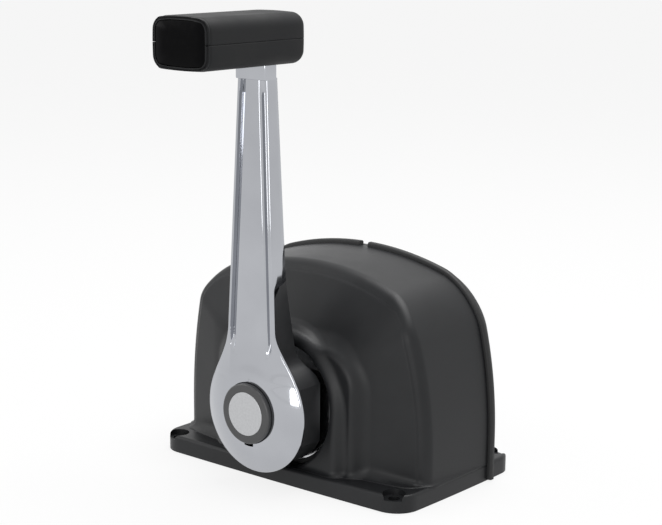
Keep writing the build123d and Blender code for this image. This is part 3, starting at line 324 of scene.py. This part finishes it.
def arch_distance(x, z):
    """Distance to the loaf-shaped outline of the housing at its joint."""
    shoulder_x, shoulder_z = arch_shoulder
    run = arch_half_width - shoulder_x
    rise = shoulder_z - arch_upright_height
    side_radius = (run ** 2 + rise ** 2) / (2 * run)
    side = np.hypot(np.abs(x) + side_radius - arch_half_width,
                    np.maximum(z - arch_upright_height, 0)) - side_radius
    sag = arch_top_height - shoulder_z
    top_radius = (shoulder_x ** 2 + sag ** 2) / (2 * sag)
    top = np.hypot(x, z - (arch_top_height - top_radius)) - top_radius
    return rounded_cut(side, top, arch_corner_blend)


def front_distance(x, y, z, set_back):
    """Distance to the front panel, its two swept sides and its leaning top."""
    wall = front_wall_y + set_back - y
    side = (wall + math.tan(front_sweep) * (np.abs(x) - front_panel_half_width))
    top = (wall + math.tan(front_lean) * (z - front_kink_height))
    return soft_max(soft_max(wall, side * math.cos(front_sweep), facet_blend),
                    top * math.cos(front_lean), facet_blend)


def boss_distance(x, y, z):
    """Distance to the ring-like lip round the hub and the squarer plinth under it."""
    above = np.maximum(z - shaft_height, 0)
    lip_side = np.hypot(x, above) - lip_radius - lip_draft * (y - lip_front_y)
    lip_face = lip_front_y + lip_lean * (z - shaft_height) - y
    lip = rounded_cut(lip_side, lip_face, lip_round)
    over_x = np.maximum(np.abs(x) - plinth_half_width + plinth_corner, 0)
    over_z = np.maximum(z - plinth_top + plinth_corner, 0)
    plinth_side = np.hypot(over_x, over_z) - plinth_corner
    plinth_side = plinth_side - plinth_slope * (y - front_wall_y)
    plinth = rounded_cut(plinth_side, plinth_front_y - y, plinth_round)
    return lip, plinth


def housing_distance(x, y, z):
    """Distance to the outside of both shells above the flange."""
    side = arch_distance(x, z) + draft * np.abs(y - joint_y)
    border = rounded_cut(side, front_distance(x, y, z, border_step), rim_round)
    panel = rounded_cut(side + border_width, front_distance(x, y, z, 0), panel_edge_round)
    body = np.minimum(border, panel)
    lip, plinth = boss_distance(x, y, z)
    body = rounded_join(rounded_join(body, plinth, root_blend), lip, lip_root_blend)
    body = rounded_cut(body, y - rear_wall_y, rear_round)
    return rounded_join(body, z - flange_top, np.interp(y, cove_stops_y, cove_radii))


def out_to_surface(field, starts, ways, reach):
    """Moves each start along its way to where the field crosses zero, within reach."""
    near = np.zeros(len(starts))
    far = np.full(len(starts), float(reach))
    for _ in range(bisections):
        middle = (near + far) / 2
        inside = field(*(starts + ways * middle[:, None]).T) < 0
        near = np.where(inside, middle, near)
        far = np.where(inside, far, middle)
    return starts + ways * ((near + far) / 2)[:, None]


# ---------------------------------------------------------------- meshes
merge_distance = 0.01
fan_columns = 241
foot_rises = (0, 0.25, 0.6, 1.1, 1.8, 2.7, 3.8, 5.2, 7, 9.2)
upright_columns = 12
upright_start = 11.5
shell_wall = 3.0


def new_piece(name, vertices, faces, body, slot_name):
    """A mesh object in metres that rides on a body and takes its slot's material."""
    mesh = bpy.data.meshes.new(name)
    mesh.from_pydata((np.asarray(vertices) * mm).tolist(), [], faces)
    mesh.materials.append(finishes[slot_name])
    piece = bpy.data.objects.new(name, mesh)
    bpy.context.scene.collection.objects.link(piece)
    shape = bmesh.new()
    shape.from_mesh(mesh)
    bmesh.ops.remove_doubles(shape, verts=shape.verts, dist=merge_distance * mm)
    bmesh.ops.recalc_face_normals(shape, faces=shape.faces)
    shape.to_mesh(mesh)
    shape.free()
    mesh.polygons.foreach_set("use_smooth", [True] * len(mesh.polygons))
    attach(piece, body)
    return piece


def grid_faces(rows, columns, closed=False):
    """Quads of a grid whose vertices run row by row."""
    faces = []
    for row in range(rows - 1):
        for column in range(columns if closed else columns - 1):
            after = (column + 1) % columns
            faces.append((row * columns + column, row * columns + after,
                          (row + 1) * columns + after, (row + 1) * columns + column))
    return faces


def arch_columns(foot, gap_half_width=0.0):
    """Base points and directions that fan out from the shaft axis, from foot to foot."""
    low = np.concatenate([foot + np.array(foot_rises, float),
                          np.linspace(foot + upright_start, shaft_height, upright_columns)])
    fan = np.radians(np.linspace(0, 180, fan_columns))[1:-1]
    if gap_half_width:
        fan = fan[np.abs(np.cos(fan)) > gap_half_width / (arch_top_height - shaft_height)]
    base = [(0, 0, z) for z in low] + [(0, 0, shaft_height)] * len(fan)
    base += [(0, 0, z) for z in low[::-1]]
    way = [(1, 0, 0)] * len(low) + [(math.cos(a), 0, math.sin(a)) for a in fan]
    way += [(-1, 0, 0)] * len(low)
    return np.array(base, float), np.array(way, float)


def thicken(piece, wall):
    """Gives a skin its wall, towards the inside."""
    solid = piece.modifiers.new("wall", "SOLIDIFY")
    solid.thickness = wall * mm
    solid.offset = -1


# How far apart the rows of the front shell run: close over the lip, and turned about a
# pivot at the rim, which lies inside the outline and behind the front.
lip_steps = (recess_radius, 36.2, 37, 37.8, 38.5, 39.2, 39.8, 40.3, 40.7, 41.0, 41.3, 41.7,
             42.4, 43.2, 44.2)
mouth_shares = (0, 0.2, 0.4, 0.6, 0.8)
front_rows = 66
rim_rows = 26
side_rows = 16
rim_draft_run = 58
rim_pivot_inset = 11
rim_pivot_depth = 12
start_y = 8.0
foot_clearance = 0.02
rear_foot = 0.3
rear_pivot_inset = 6
joint_gap = 0.1


def front_shell():
    """Front moulding: boss, facets, border and drafted side, one row of points after another."""
    base, way = arch_columns(flange_top + foot_clearance)
    forward = np.tile((0.0, -1.0, 0.0), (len(base), 1))
    side_in = out_to_surface(
        lambda x, y, z: arch_distance(x, z) + draft * rim_draft_run + rim_pivot_inset,
        base, way, 200)
    inner = np.linalg.norm(side_in - base, axis=1)
    rows = []
    below_axis = np.minimum(base[:, 2] - shaft_height, 0)
    mouth = np.sqrt(np.maximum(recess_radius ** 2 - below_axis ** 2, 0))
    spans = [mouth + (recess_radius - mouth) * share for share in mouth_shares]
    spans += [np.full(len(base), float(step)) for step in lip_steps]
    spans += [lip_steps[-1] + (inner - lip_steps[-1]) * share
              for share in np.linspace(0, 1, front_rows)[1:]]
    for span in spans:
        start = base + way * span[:, None]
        start[:, 1] = start_y
        rows.append(out_to_surface(housing_distance, start, forward, 90))
    pivot = rows[-1].copy()
    pivot[:, 1] = rows[-1][:, 1] + rim_pivot_depth
    for turn in np.radians(np.linspace(0, 90, rim_rows)[1:]):
        rows.append(out_to_surface(housing_distance, pivot,
                                   forward * math.cos(turn) + way * math.sin(turn), 60))
    start = pivot.copy()
    for share in np.linspace(0, 1, side_rows)[1:]:
        start[:, 1] = pivot[:, 1] + (joint_y - joint_gap - pivot[:, 1]) * share
        rows.append(out_to_surface(housing_distance, start, way, 60))
    shell = new_piece("front_shell", np.concatenate(rows), grid_faces(len(rows), len(base)),
                      "housing", "black_housing_plastic")
    thicken(shell, shell_wall)
    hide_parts("front_housing")


def rear_shell():
    """Rear moulding: drafted side, rounded edge and flat back."""
    base, way = arch_columns(rear_foot)

    def field(x, y, z):
        side = arch_distance(x, z) + draft * np.abs(y - joint_y)
        return rounded_cut(side, y - rear_wall_y, rear_round)

    side_in = out_to_surface(lambda x, y, z: arch_distance(x, z) + rear_pivot_inset,
                             base, way, 200)
    inner = np.linalg.norm(side_in - base, axis=1)
    rows = []
    back = np.tile((0.0, 1.0, 0.0), (len(base), 1))
    pivot = base + way * inner[:, None]
    for depth in (joint_y + joint_gap, joint_y + 1.5):
        pivot[:, 1] = depth
        rows.append(out_to_surface(field, pivot, way, 60))
    for turn in np.radians(np.linspace(0, 90, 14)):
        rows.append(out_to_surface(field, pivot, way * math.cos(turn) + back * math.sin(turn), 60))
    for share in (0.8, 0.5, 0.2, 0.0):
        row = base + way * (inner * share)[:, None]
        row[:, 1] = rear_wall_y
        rows.append(row)
    shell = new_piece("rear_shell", np.concatenate(rows), grid_faces(len(rows), len(base)),
                      "housing", "black_housing_plastic")
    thicken(shell, shell_wall)
    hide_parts("rear_housing")


def hub_recess():
    """Round recess in the boss, behind the hub."""
    turns = np.radians(np.linspace(0, 360, 121))[:-1]
    rows = []
    mouth = lip_front_y + lip_lean * recess_radius * np.sin(turns)
    profile = [(recess_radius, mouth)]
    profile += [(recess_radius - inset, recess_floor_y - height)
                for inset, height in recess_corner]
    profile.append((recess_hole_radius, recess_floor_y))
    for radius, depth in profile:
        rows.append(np.column_stack([radius * np.cos(turns), np.broadcast_to(depth, turns.shape),
                                     shaft_height + radius * np.sin(turns)]))
    new_piece("hub_recess", np.concatenate(rows), grid_faces(len(rows), len(turns), True),
              "housing", "black_housing_plastic")


# ---------------------------------------------------------------- deck flange and seals
flange_half = (88.65, 53.4)
flange_corner = 13.0
flange_bow = 1.0
flange_round = 2.0
screw_places = [(x, y) for x in (-78.75, 78.75) for y in (-46.75, 46.75)]
screw_hole_radius = 3.2
screw_seat_radius = 6.2
screw_seat_depth = 3.0
beyond = 120
cut_heights = (-5, 20)
under_housing = [(-84, -30), (84, -30), (84, 30), (-84, 30)]


def flange_distance(x, y, z):
    """Distance to the bowed outline of the flange with its round corners."""
    half_x, half_y = flange_half
    over_x = np.abs(x) - (half_x - flange_bow * (y / half_y) ** 2) + flange_corner
    over_y = np.abs(y) - (half_y - flange_bow * (x / half_x) ** 2) + flange_corner
    outside = np.hypot(np.maximum(over_x, 0), np.maximum(over_y, 0))
    return outside + np.minimum(np.maximum(over_x, over_y), 0) - flange_corner


def prism_cut(name, outline, low, high):
    """A hidden upright cutter over an outline."""
    count = len(outline)
    mesh = bpy.data.meshes.new(name)
    points = [(x * mm, y * mm, z * mm) for z in (low, high) for x, y in outline]
    faces = [tuple(range(count))[::-1], tuple(range(count, 2 * count))]
    faces += [(i, (i + 1) % count, count + (i + 1) % count, count + i) for i in range(count)]
    mesh.from_pydata(points, [], faces)
    return bpy.data.objects.new(name, mesh)


def cylinder_cut(name, x, y, radius, low, high):
    """A hidden round cutter."""
    turns = np.radians(np.linspace(0, 360, 65))[:-1]
    ring = [(x + radius * math.cos(a), y + radius * math.sin(a)) for a in turns]
    return prism_cut(name, ring, low, high)


def carve(piece, cutters):
    """Cuts each cutter out of the piece for good, and removes it."""
    for cutter in cutters:
        bpy.context.scene.collection.objects.link(cutter)
        cut = piece.modifiers.new("cut", "BOOLEAN")
        cut.operation = "DIFFERENCE"
        cut.solver = "EXACT"
        cut.object = cutter
    graph = bpy.context.evaluated_depsgraph_get()
    carved = bpy.data.meshes.new_from_object(piece.evaluated_get(graph))
    piece.modifiers.clear()
    piece.data = carved
    for cutter in cutters:
        bpy.data.objects.remove(cutter)


def flange_half_piece(name, y_low, y_high):
    """Half of the deck flange with its screw seats, open under the housing."""
    turns = np.radians(np.linspace(0, 360, 361))[:-1]
    ways = np.column_stack([np.cos(turns), np.sin(turns), 0 * turns])
    starts = np.zeros_like(ways)
    profile = [(0.0, 0.0), (0.0, flange_top - flange_round)]
    profile += [(flange_round * (1 - math.cos(a)), flange_top - flange_round * (1 - math.sin(a)))
                for a in np.radians((15, 30, 45, 60, 75, 90))]
    rows = []
    for inset, z in profile:
        ring = out_to_surface(lambda x, y, q: flange_distance(x, y, q) + inset, starts, ways, 150)
        ring[:, 2] = z
        rows.append(ring)
    count = len(turns)
    faces = grid_faces(len(rows), count, True)
    faces.append(tuple(range(count))[::-1])
    faces.append(tuple(range((len(rows) - 1) * count, len(rows) * count)))
    piece = new_piece(name, np.concatenate(rows), faces, "housing", "black_housing_plastic")
    low, high = cut_heights
    cutters = []
    for x, y in screw_places:
        if y_low < y < y_high:
            cutters.append(cylinder_cut("hole", x, y, screw_hole_radius, low, high))
            cutters.append(cylinder_cut("seat", x, y, screw_seat_radius,
                                        flange_top - screw_seat_depth, high))
    near, far = (y_high, beyond) if y_low < -beyond else (-beyond, y_low)
    other_half = [(-beyond, near), (beyond, near), (beyond, far), (-beyond, far)]
    cutters.append(prism_cut("other_half", other_half, low, high))
    cutters.append(prism_cut("inside", under_housing, low, high))
    carve(piece, cutters)
    crease(piece, 40)


def crease(piece, degrees):
    """Smooth shading with sharp edges where faces meet at more than an angle."""
    mesh = piece.data
    mesh.polygons.foreach_set("use_smooth", [True] * len(mesh.polygons))
    mesh.set_sharp_from_angle(angle=math.radians(degrees))


seal_foot = 0.6
seal_gap_half_width = 2.3
seal_profile = ((24.0, -1.5), (24.0, 1.3), (24.3, 1.9), (24.9, 2.3), (27.1, 2.3), (27.7, 1.9),
                (28.0, 1.3), (28.0, -1.5))


def edge_seals():
    """Two rubber strips with rounded shoulders, parted at the top."""
    base, way = arch_columns(seal_foot, seal_gap_half_width)
    half = len(base) // 2
    for name, node, part_of in (("seal_right", "edge_seal_right", slice(0, half)),
                                ("seal_left", "edge_seal_left", slice(half, None))):
        starts, ways = base[part_of], way[part_of]
        rows = []
        for depth, proud in seal_profile:
            row = out_to_surface(lambda x, y, z: arch_distance(x, z) - proud, starts, ways, 200)
            row[:, 1] = depth
            rows.append(row)
        count = len(starts)
        faces = grid_faces(len(rows), count)
        for end in (0, count - 1):
            faces.append(tuple(row * count + end for row in range(len(rows))))
        seal = new_piece(name, np.concatenate(rows), faces, "housing", "black_rubber")
        crease(seal, 50)
        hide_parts(node)


front_shell()
rear_shell()
hub_recess()
flange_half_piece("front_flange", -200, joint_y - joint_gap)
flange_half_piece("rear_flange", joint_y + joint_gap, 200)
edge_seals()


# ---------------------------------------------------------------- chrome lever
disc_radius = 34.0
disc_bore = 16.9
disc_rim_y = -67.1
disc_back_y = -65.5
crown_radius = 18.4
crown_y = -72.6
dome_power = 1.7
shoulder_blend = 15.0
lever_low = {"z": 80.0, "half": 16.9, "front": -71.3, "back": -59.4}
lever_high = {"z": 222.0, "half": 10.5, "front": -69.2, "back": -61.6}
face_blend = 2.2
skin_wall = 1.6
edge_round = 1.1
skin_end_low = 111.0
skin_end_high = 116.0
flute_border = 2.0
flute_width = 4.4
flute_depth = 2.5
flute_tip_z = 71.0
flute_tip_slope = 1.3
flute_tip_run = 9
flute_top = (219.5, 221.0)
flute_wall = 0.7
flute_floor_share = 0.45
shoulder_fall = {"width": 3, "slope": 0.35, "fade": (76, 92)}
low_fall = {"from_z": 62, "slope": 0.4}
dome_ends_z = 88
notch_half_width = 2.9
notch_depth = 1.6
strip_heights = np.concatenate([np.linspace(222, 118, 24), np.linspace(116.5, 110.5, 13),
                                np.linspace(109, 97, 7)])
fan_split = math.radians(30)
shoulder_columns = 80
disc_columns = 150
side_shares = (1.0, 0.98, 0.66, 0.33, 0.0)
side_lip = 0.15
edge_steps = np.concatenate([[0, 0.08, 0.22, 0.42, 0.7, 1.1, 1.5, 1.8],
                             np.arange(2.0, 7.4, 0.22)])
inner_rows = 15
back_columns = 9
collar_half = (10.7, 4.8)
collar_middle_y = -66.3
collar_squareness = 0.22
collar_profile = ((0.5, 221.0), (0.1, 221.2), (0, 221.6), (0, 230.8))


def along_lever(key, z):
    """A size of the lever at a height, by its straight taper."""
    share = (z - lever_low["z"]) / (lever_high["z"] - lever_low["z"])
    return lever_low[key] + share * (lever_high[key] - lever_low[key])


def eased(value, start, end):
    """0 before start, 1 after end, with a smooth step between."""
    share = np.clip((value - start) / (end - start), 0, 1)
    return share * share * (3 - 2 * share)


def lever_plan(x, z):
    """Distance to the lever's front outline: the disc with concave shoulders into the bar."""
    disc = np.hypot(x, z - shaft_height) - disc_radius
    bar = np.maximum(np.abs(x) - along_lever("half", z), shaft_height - z)
    return rounded_join(disc, bar, shoulder_blend)


def lever_face_y(x, z):
    """Front surface: a dome round the button that runs into the fluted bar."""
    radius = np.maximum(np.hypot(x, z - shaft_height) - crown_radius, 0)
    dome = crown_y + (disc_rim_y - crown_y) * (radius / (disc_radius - crown_radius)) ** dome_power
    aside = np.maximum(np.abs(x) - along_lever("half", z) + shoulder_fall["width"], 0)
    aside_fall = shoulder_fall["slope"] * aside * (1 - eased(z, *shoulder_fall["fade"]))
    below_fall = low_fall["slope"] * np.maximum(low_fall["from_z"] - z, 0)
    bar = along_lever("front", z) + aside_fall + below_fall
    surface = -soft_max(-dome, -bar, face_blend)
    surface = np.where(z > dome_ends_z, bar, surface)
    inward = along_lever("half", z) - np.abs(x)
    inner_side = flute_border + flute_width
    across = eased(inward, flute_border, flute_border + flute_wall)
    across = across * (1 - eased(inward, flute_border + flute_floor_share * flute_width,
                                 inner_side))
    tip = flute_tip_z + flute_tip_slope * (inner_side - inward)
    along = eased(z, tip, tip + flute_tip_run) * (1 - eased(z, *flute_top))
    return surface + flute_depth * across * along


def skin_end_y(front, z):
    """How far back the chrome's side wall reaches: a thin skin low down, full depth above."""
    deep = eased(z, skin_end_low, skin_end_high)
    return (front + skin_wall) * (1 - deep) + along_lever("back", z) * deep


def lever_columns():
    """Outer and inner ends, in x and z, of the lines across the lever's front."""
    side = np.column_stack([along_lever("half", strip_heights), strip_heights])
    middle = np.column_stack([0 * strip_heights, strip_heights])
    lowest = strip_heights[-1]
    start_angle = math.atan2(side[-1][0], lowest - shaft_height)
    fan = np.concatenate([np.linspace(start_angle, fan_split, shoulder_columns)[1:],
                          np.linspace(fan_split, math.pi, disc_columns)[1:]])
    ways = np.column_stack([np.sin(fan), 0 * fan, np.cos(fan)])
    starts = np.tile((0.0, 0.0, shaft_height), (len(fan), 1))
    rim = out_to_surface(lambda x, y, z: lever_plan(x, z), starts, ways, 75)
    down = np.clip((fan - start_angle) / (fan_split - start_angle), 0, 1)
    around = np.maximum(fan - fan_split, 0) / (math.pi - fan_split) * math.pi
    at_notch = (np.sin(around) * disc_bore < notch_half_width) & (around > 2)
    bore = disc_bore + np.where(at_notch, notch_depth, 0)
    on_shoulder = fan < fan_split
    inner_z = np.where(on_shoulder, lowest + (shaft_height + disc_bore - lowest) * down,
                       shaft_height + bore * np.cos(around))
    inner_x = np.where(on_shoulder, 0, bore * np.sin(around))
    outer = np.concatenate([side, rim[:, [0, 2]]])
    inner = np.concatenate([middle, np.column_stack([inner_x, inner_z])])
    outer = np.concatenate([outer, outer[-2::-1] * (-1, 1)])
    inner = np.concatenate([inner, inner[-2::-1] * (-1, 1)])
    return outer, inner


def lever_rows(outer, inner):
    """Rows of points: up the side wall, over the rounded edge and across the face."""
    length = np.linalg.norm(inner - outer, axis=1)

    def inwards(distance):
        return outer + (inner - outer) * (distance / length)[:, None]

    edge = inwards(edge_round)
    edge_y = lever_face_y(edge[:, 0], edge[:, 1])
    end = skin_end_y(edge_y, outer[:, 1])
    rows = []
    for share in side_shares:
        point = inwards(side_lip if share == 1.0 else 0.0)
        y = edge_y + edge_round + (end - edge_y - edge_round) * share
        rows.append(np.column_stack([point[:, 0], y, point[:, 1]]))
    for step in edge_steps:
        point = inwards(step)
        y = lever_face_y(*(edge if step < edge_round else point).T)
        drop = edge_round - math.sqrt(max(edge_round ** 2 - max(edge_round - step, 0) ** 2, 0))
        rows.append(np.column_stack([point[:, 0], y + drop, point[:, 1]]))
    for share in np.linspace(0, 1, inner_rows)[1:]:
        point = inwards(edge_steps[-1] + (length - edge_steps[-1]) * share)
        rows.append(np.column_stack([point[:, 0], lever_face_y(*point.T), point[:, 1]]))
    return rows


def chrome_lever():
    """Chrome-plated lever and disc, with the wall of the bore round the button."""
    outer, inner = lever_columns()
    rows = lever_rows(outer, inner)
    columns = len(outer)
    vertices = list(np.concatenate(rows))
    faces = grid_faces(len(rows), columns)
    on_bore = np.abs(np.hypot(inner[:, 0], inner[:, 1] - shaft_height) - disc_bore) < 2
    first = int(np.argmax(on_bore))
    last = columns - first
    top_row = (len(rows) - 1) * columns
    wall_start = len(vertices) - first
    for column in range(first, last):
        vertices.append((inner[column][0], disc_back_y, inner[column][1]))
    for column in range(first, last - 1):
        faces.append((top_row + column, top_row + column + 1,
                      wall_start + column + 1, wall_start + column))
    lever = new_piece("chrome_lever", np.array(vertices), faces, "lever", "chrome_plate")
    crease(lever, 50)
    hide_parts("lever_arm")


def back_of_lever():
    """Top end of the bar, and its flat back above the black backing."""
    top = strip_heights[0]
    half = along_lever("half", top) - side_lip
    across = np.linspace(-half, half, back_columns)
    rows = [[(x, along_lever("front", top) + 0.1, top) for x in across]]
    for z in strip_heights[strip_heights >= skin_end_high - 0.1]:
        half = along_lever("half", z) - side_lip
        across = np.linspace(-half, half, back_columns)
        rows.append([(x, along_lever("back", z), z) for x in across])
    new_piece("lever_back", np.concatenate(rows), grid_faces(len(rows), back_columns), "lever",
              "chrome_plate")


def collar():
    """Plain collar between the bar and the grip, with eased corners."""
    turns = np.radians(np.linspace(0, 360, 97))[:-1]
    half_x, half_y = collar_half
    across = np.sign(np.cos(turns)) * np.abs(np.cos(turns)) ** collar_squareness
    deep = np.sign(np.sin(turns)) * np.abs(np.sin(turns)) ** collar_squareness
    rows = []
    for inset, z in collar_profile:
        rows.append(np.column_stack([(half_x - inset) * across,
                                     collar_middle_y + (half_y - inset) * deep, 0 * turns + z]))
    count = len(turns)
    faces = grid_faces(len(rows), count, True) + [tuple(range(count))]
    piece = new_piece("lever_collar", np.concatenate(rows), faces, "lever", "chrome_plate")
    crease(piece, 40)


chrome_lever()
back_of_lever()
collar()


# ---------------------------------------------------------------- hand grip
grip_middle_z = 242.1
grip_middle_y = -85.35
grip_half = (19.2, 37.15, 13.5)
grip_corner = 6.5
grip_crown = 0.7
grip_end_round = 4.2
grip_parting = 0.12
grip_rim = 1.9
grip_wall = 1.6
grip_rim_turn = 52
grip_rim_steps = (0.0, 0.1, 2.4)
panel_profile = ((0.25, 1.45), (0.25, 0.55), (0.35, 0.27), (0.65, 0.15), (6.0, 0.05))


def grip_section(x, z):
    """Distance to the grip's cross-section: a rounded box with slightly crowned sides."""
    aside = np.abs(x) / grip_half[0]
    above = np.abs(z - grip_middle_z) / grip_half[2]
    return rounded_cut(np.abs(x) - grip_half[0] + grip_crown * above ** 2,
                       np.abs(z - grip_middle_z) - grip_half[2] + grip_crown * aside ** 2,
                       grip_corner)


def grip_distance(x, y, z):
    """Distance to the outside of the grip with its rounded ends."""
    return rounded_cut(grip_section(x, z), np.abs(y - grip_middle_y) - grip_half[1],
                       grip_end_round)


def grip_shell(name, node, side):
    """Upper or lower moulded shell of the grip, open at the front for its end panel."""
    turns = np.radians(np.linspace(0, 180, 91)) * side
    way = np.column_stack([np.cos(turns), 0 * turns, np.sin(turns)])
    base = np.tile((0.0, 0.0, grip_middle_z + side * grip_parting), (len(turns), 1))
    along = np.array((0.0, 1.0, 0.0))
    core = out_to_surface(lambda x, y, z: grip_section(x, z) + grip_end_round, base, way, 60)
    opening = out_to_surface(lambda x, y, z: grip_section(x, z) + grip_rim, base, way, 60)
    back_y = grip_middle_y + grip_half[1]
    front_y = grip_middle_y - grip_half[1]
    rows = []
    for share in (0.0, 0.4, 0.8):
        row = base + (core - base) * share
        row[:, 1] = back_y
        rows.append(row)
    for turn in np.radians(np.linspace(90, 0, 10)):
        core[:, 1] = back_y - grip_end_round
        rows.append(out_to_surface(grip_distance, core,
                                   way * math.cos(turn) + along * math.sin(turn), 30))
    for share in np.linspace(0, 1, 14)[1:-1]:
        core[:, 1] = back_y - grip_end_round - share * 2 * (grip_half[1] - grip_end_round)
        rows.append(out_to_surface(grip_distance, core, way, 30))
    core[:, 1] = front_y + grip_end_round
    for turn in np.radians(np.linspace(0, grip_rim_turn, 9)):
        rows.append(out_to_surface(grip_distance, core,
                                   way * math.cos(turn) - along * math.sin(turn), 30))
    rim_y = rows[-1][0][1]
    for step in grip_rim_steps:
        row = opening.copy()
        row[:, 1] = rim_y + step
        rows.append(row)
    shell = new_piece(name, np.concatenate(rows), grid_faces(len(rows), len(turns)),
                      "lever", "black_grip_plastic")
    thicken(shell, grip_wall)
    crease(shell, 60)
    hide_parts(node)
    return rim_y


def grip_panel(rim_y):
    """Gloss panel set a little into the front end of the grip, with an eased edge."""
    turns = np.radians(np.linspace(0, 360, 181))[:-1]
    way = np.column_stack([np.cos(turns), 0 * turns, np.sin(turns)])
    base = np.tile((0.0, 0.0, grip_middle_z), (len(turns), 1))
    rows = []
    for inset, depth in panel_profile:
        row = out_to_surface(lambda x, y, z: grip_section(x, z) + grip_rim + inset, base, way, 60)
        row[:, 1] = rim_y + depth
        rows.append(row)
    count = len(turns)
    faces = grid_faces(len(rows), count, True)
    faces.append(tuple(range((len(rows) - 1) * count, len(rows) * count)))
    panel = new_piece("grip_panel", np.concatenate(rows), faces, "lever", "gloss_black_plastic")
    crease(panel, 50)
    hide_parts("grip_end_cap")


grip_rim_y = grip_shell("grip_shell_upper", "grip_upper", 1)
grip_shell("grip_shell_lower", "grip_lower", -1)
grip_panel(grip_rim_y)


# ---------------------------------------------------------------- washer behind the hub
# Radius and height above the recess floor.
washer_profile = ((33.0, 0.0), (33.0, 0.8), (32.8, 1.0), (18.0, 1.0))


def bright_washer():
    """Broad bright washer on the recess floor, which shows between the hub and the lip."""
    turns = np.radians(np.linspace(0, 360, 181))[:-1]
    rows = []
    for radius, height in washer_profile:
        rows.append(np.column_stack([radius * np.cos(turns), 0 * turns + recess_floor_y - height,
                                     shaft_height + radius * np.sin(turns)]))
    washer = new_piece("bright_washer", np.concatenate(rows),
                       grid_faces(len(rows), len(turns), True), "housing",
                       "bright_washer_steel")
    crease(washer, 40)
    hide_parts("hub_washer")


bright_washer()


# ---------------------------------------------------------------- camera
def add_camera():
    """The view from front right and above."""
    yaw, pitch, roll = 0.6942, 0.2085, 0.0071
    forward = Vector((-math.sin(yaw) * math.cos(pitch), math.cos(yaw) * math.cos(pitch),
                      -math.sin(pitch)))
    level_right = Vector((math.cos(yaw), math.sin(yaw), 0))
    level_up = level_right.cross(forward)
    right = math.cos(roll) * level_right + math.sin(roll) * level_up
    up = -math.sin(roll) * level_right + math.cos(roll) * level_up
    lens = bpy.data.cameras.new("camera")
    lens.sensor_width = 36.0
    lens.lens = 91.163
    lens.shift_x = 0.00349
    lens.shift_y = 0.00101
    lens.clip_start = 0.01
    camera = bpy.data.objects.new("camera", lens)
    bpy.context.scene.collection.objects.link(camera)
    camera.matrix_world = Matrix((
        (right.x, up.x, -forward.x, 0.58255),
        (right.y, up.y, -forward.y, -0.70650),
        (right.z, up.z, -forward.z, 0.30718),
        (0, 0, 0, 1)))
    bpy.context.scene.camera = camera


# ---------------------------------------------------------------- floor, background and lights
floor_half = 14.0
floor_gap = 0.0002
# Share of the floor's look that is plain white; the rest takes the lamps and the shadow.
floor_glow = 0.84


def seen_share(tree):
    """1 where the camera, a mirror or a glass looks straight at it, and 0 for other light."""
    path = add(tree, "ShaderNodeLightPath")
    through = add(tree, "ShaderNodeMath", {"operation": "MAXIMUM"},
                  {0: path.outputs["Is Camera Ray"], 1: path.outputs["Is Transmission Ray"]})
    return add(tree, "ShaderNodeMath", {"operation": "MAXIMUM"},
               {0: through.outputs["Value"], 1: path.outputs["Is Glossy Ray"]}).outputs["Value"]


def add_floor():
    """A plain pale floor that keeps the object's soft shadow."""
    mesh = bpy.data.meshes.new("floor")
    corners = [(x * floor_half, y * floor_half, 0) for x, y in ((-1, -1), (1, -1), (1, 1), (-1, 1))]
    mesh.from_pydata(corners, [], [(0, 1, 2, 3)])
    floor = bpy.data.objects.new("floor", mesh)
    floor.location.z = -floor_gap
    bpy.context.scene.collection.objects.link(floor)
    material, tree, shader, _ = new_material(
        "pale_floor", {"Base Color": linear("#F4F4F4"), "Roughness": 0.9})
    output = next(node for node in tree.nodes if node.type == "OUTPUT_MATERIAL")
    share = add(tree, "ShaderNodeMath", {"operation": "MULTIPLY", 1: floor_glow},
                {0: seen_share(tree)})
    white = add(tree, "ShaderNodeEmission", {"Color": linear("#FFFFFF"), "Strength": 1.0})
    mix = add(tree, "ShaderNodeMixShader", None,
              {0: share.outputs["Value"], 1: shader.outputs["BSDF"], 2: white.outputs["Emission"]})
    tree.links.new(mix.outputs["Shader"], output.inputs["Surface"])
    mesh.materials.append(material)


def add_area_light(name, place, target, size, power):
    """A soft square lamp that faces its target."""
    lamp = bpy.data.lights.new(name, "AREA")
    lamp.shape = "RECTANGLE"
    lamp.size, lamp.size_y = size
    lamp.energy = power
    light = bpy.data.objects.new(name, lamp)
    light.location = place
    light.rotation_euler = (Vector(target) - Vector(place)).to_track_quat("-Z", "Y").to_euler()
    bpy.context.scene.collection.objects.link(light)


def light_the_room():
    """An even pale world, a large lamp above, a small one in front and a weak one at the left."""
    world = bpy.data.worlds.new("room")
    bpy.context.scene.world = world
    world.use_nodes = True
    tree = world.node_tree
    tree.nodes.clear()
    soft = add(tree, "ShaderNodeBackground", {"Color": linear("#FFFFFF"), "Strength": 0.5})
    white = add(tree, "ShaderNodeBackground", {"Color": linear("#FFFFFF"), "Strength": 1.0})
    both = add(tree, "ShaderNodeMixShader", None,
               {0: seen_share(tree), 1: soft.outputs["Background"],
                2: white.outputs["Background"]})
    add(tree, "ShaderNodeOutputWorld", links={"Surface": both.outputs["Shader"]})
    middle = (0, 0, 0.12)
    add_area_light("lamp_above", (0.1, 0.3, 1.3), middle, (1.0, 0.8), 12)
    add_area_light("lamp_front", (0.28, -1.05, 0.2), middle, (0.30, 0.36), 1.6)
    add_area_light("lamp_left", (-1.0, -0.7, 0.7), middle, (0.5, 0.9), 2)


add_camera()
add_floor()
light_the_room()

scene = bpy.context.scene
scene.view_settings.view_transform = "Standard"
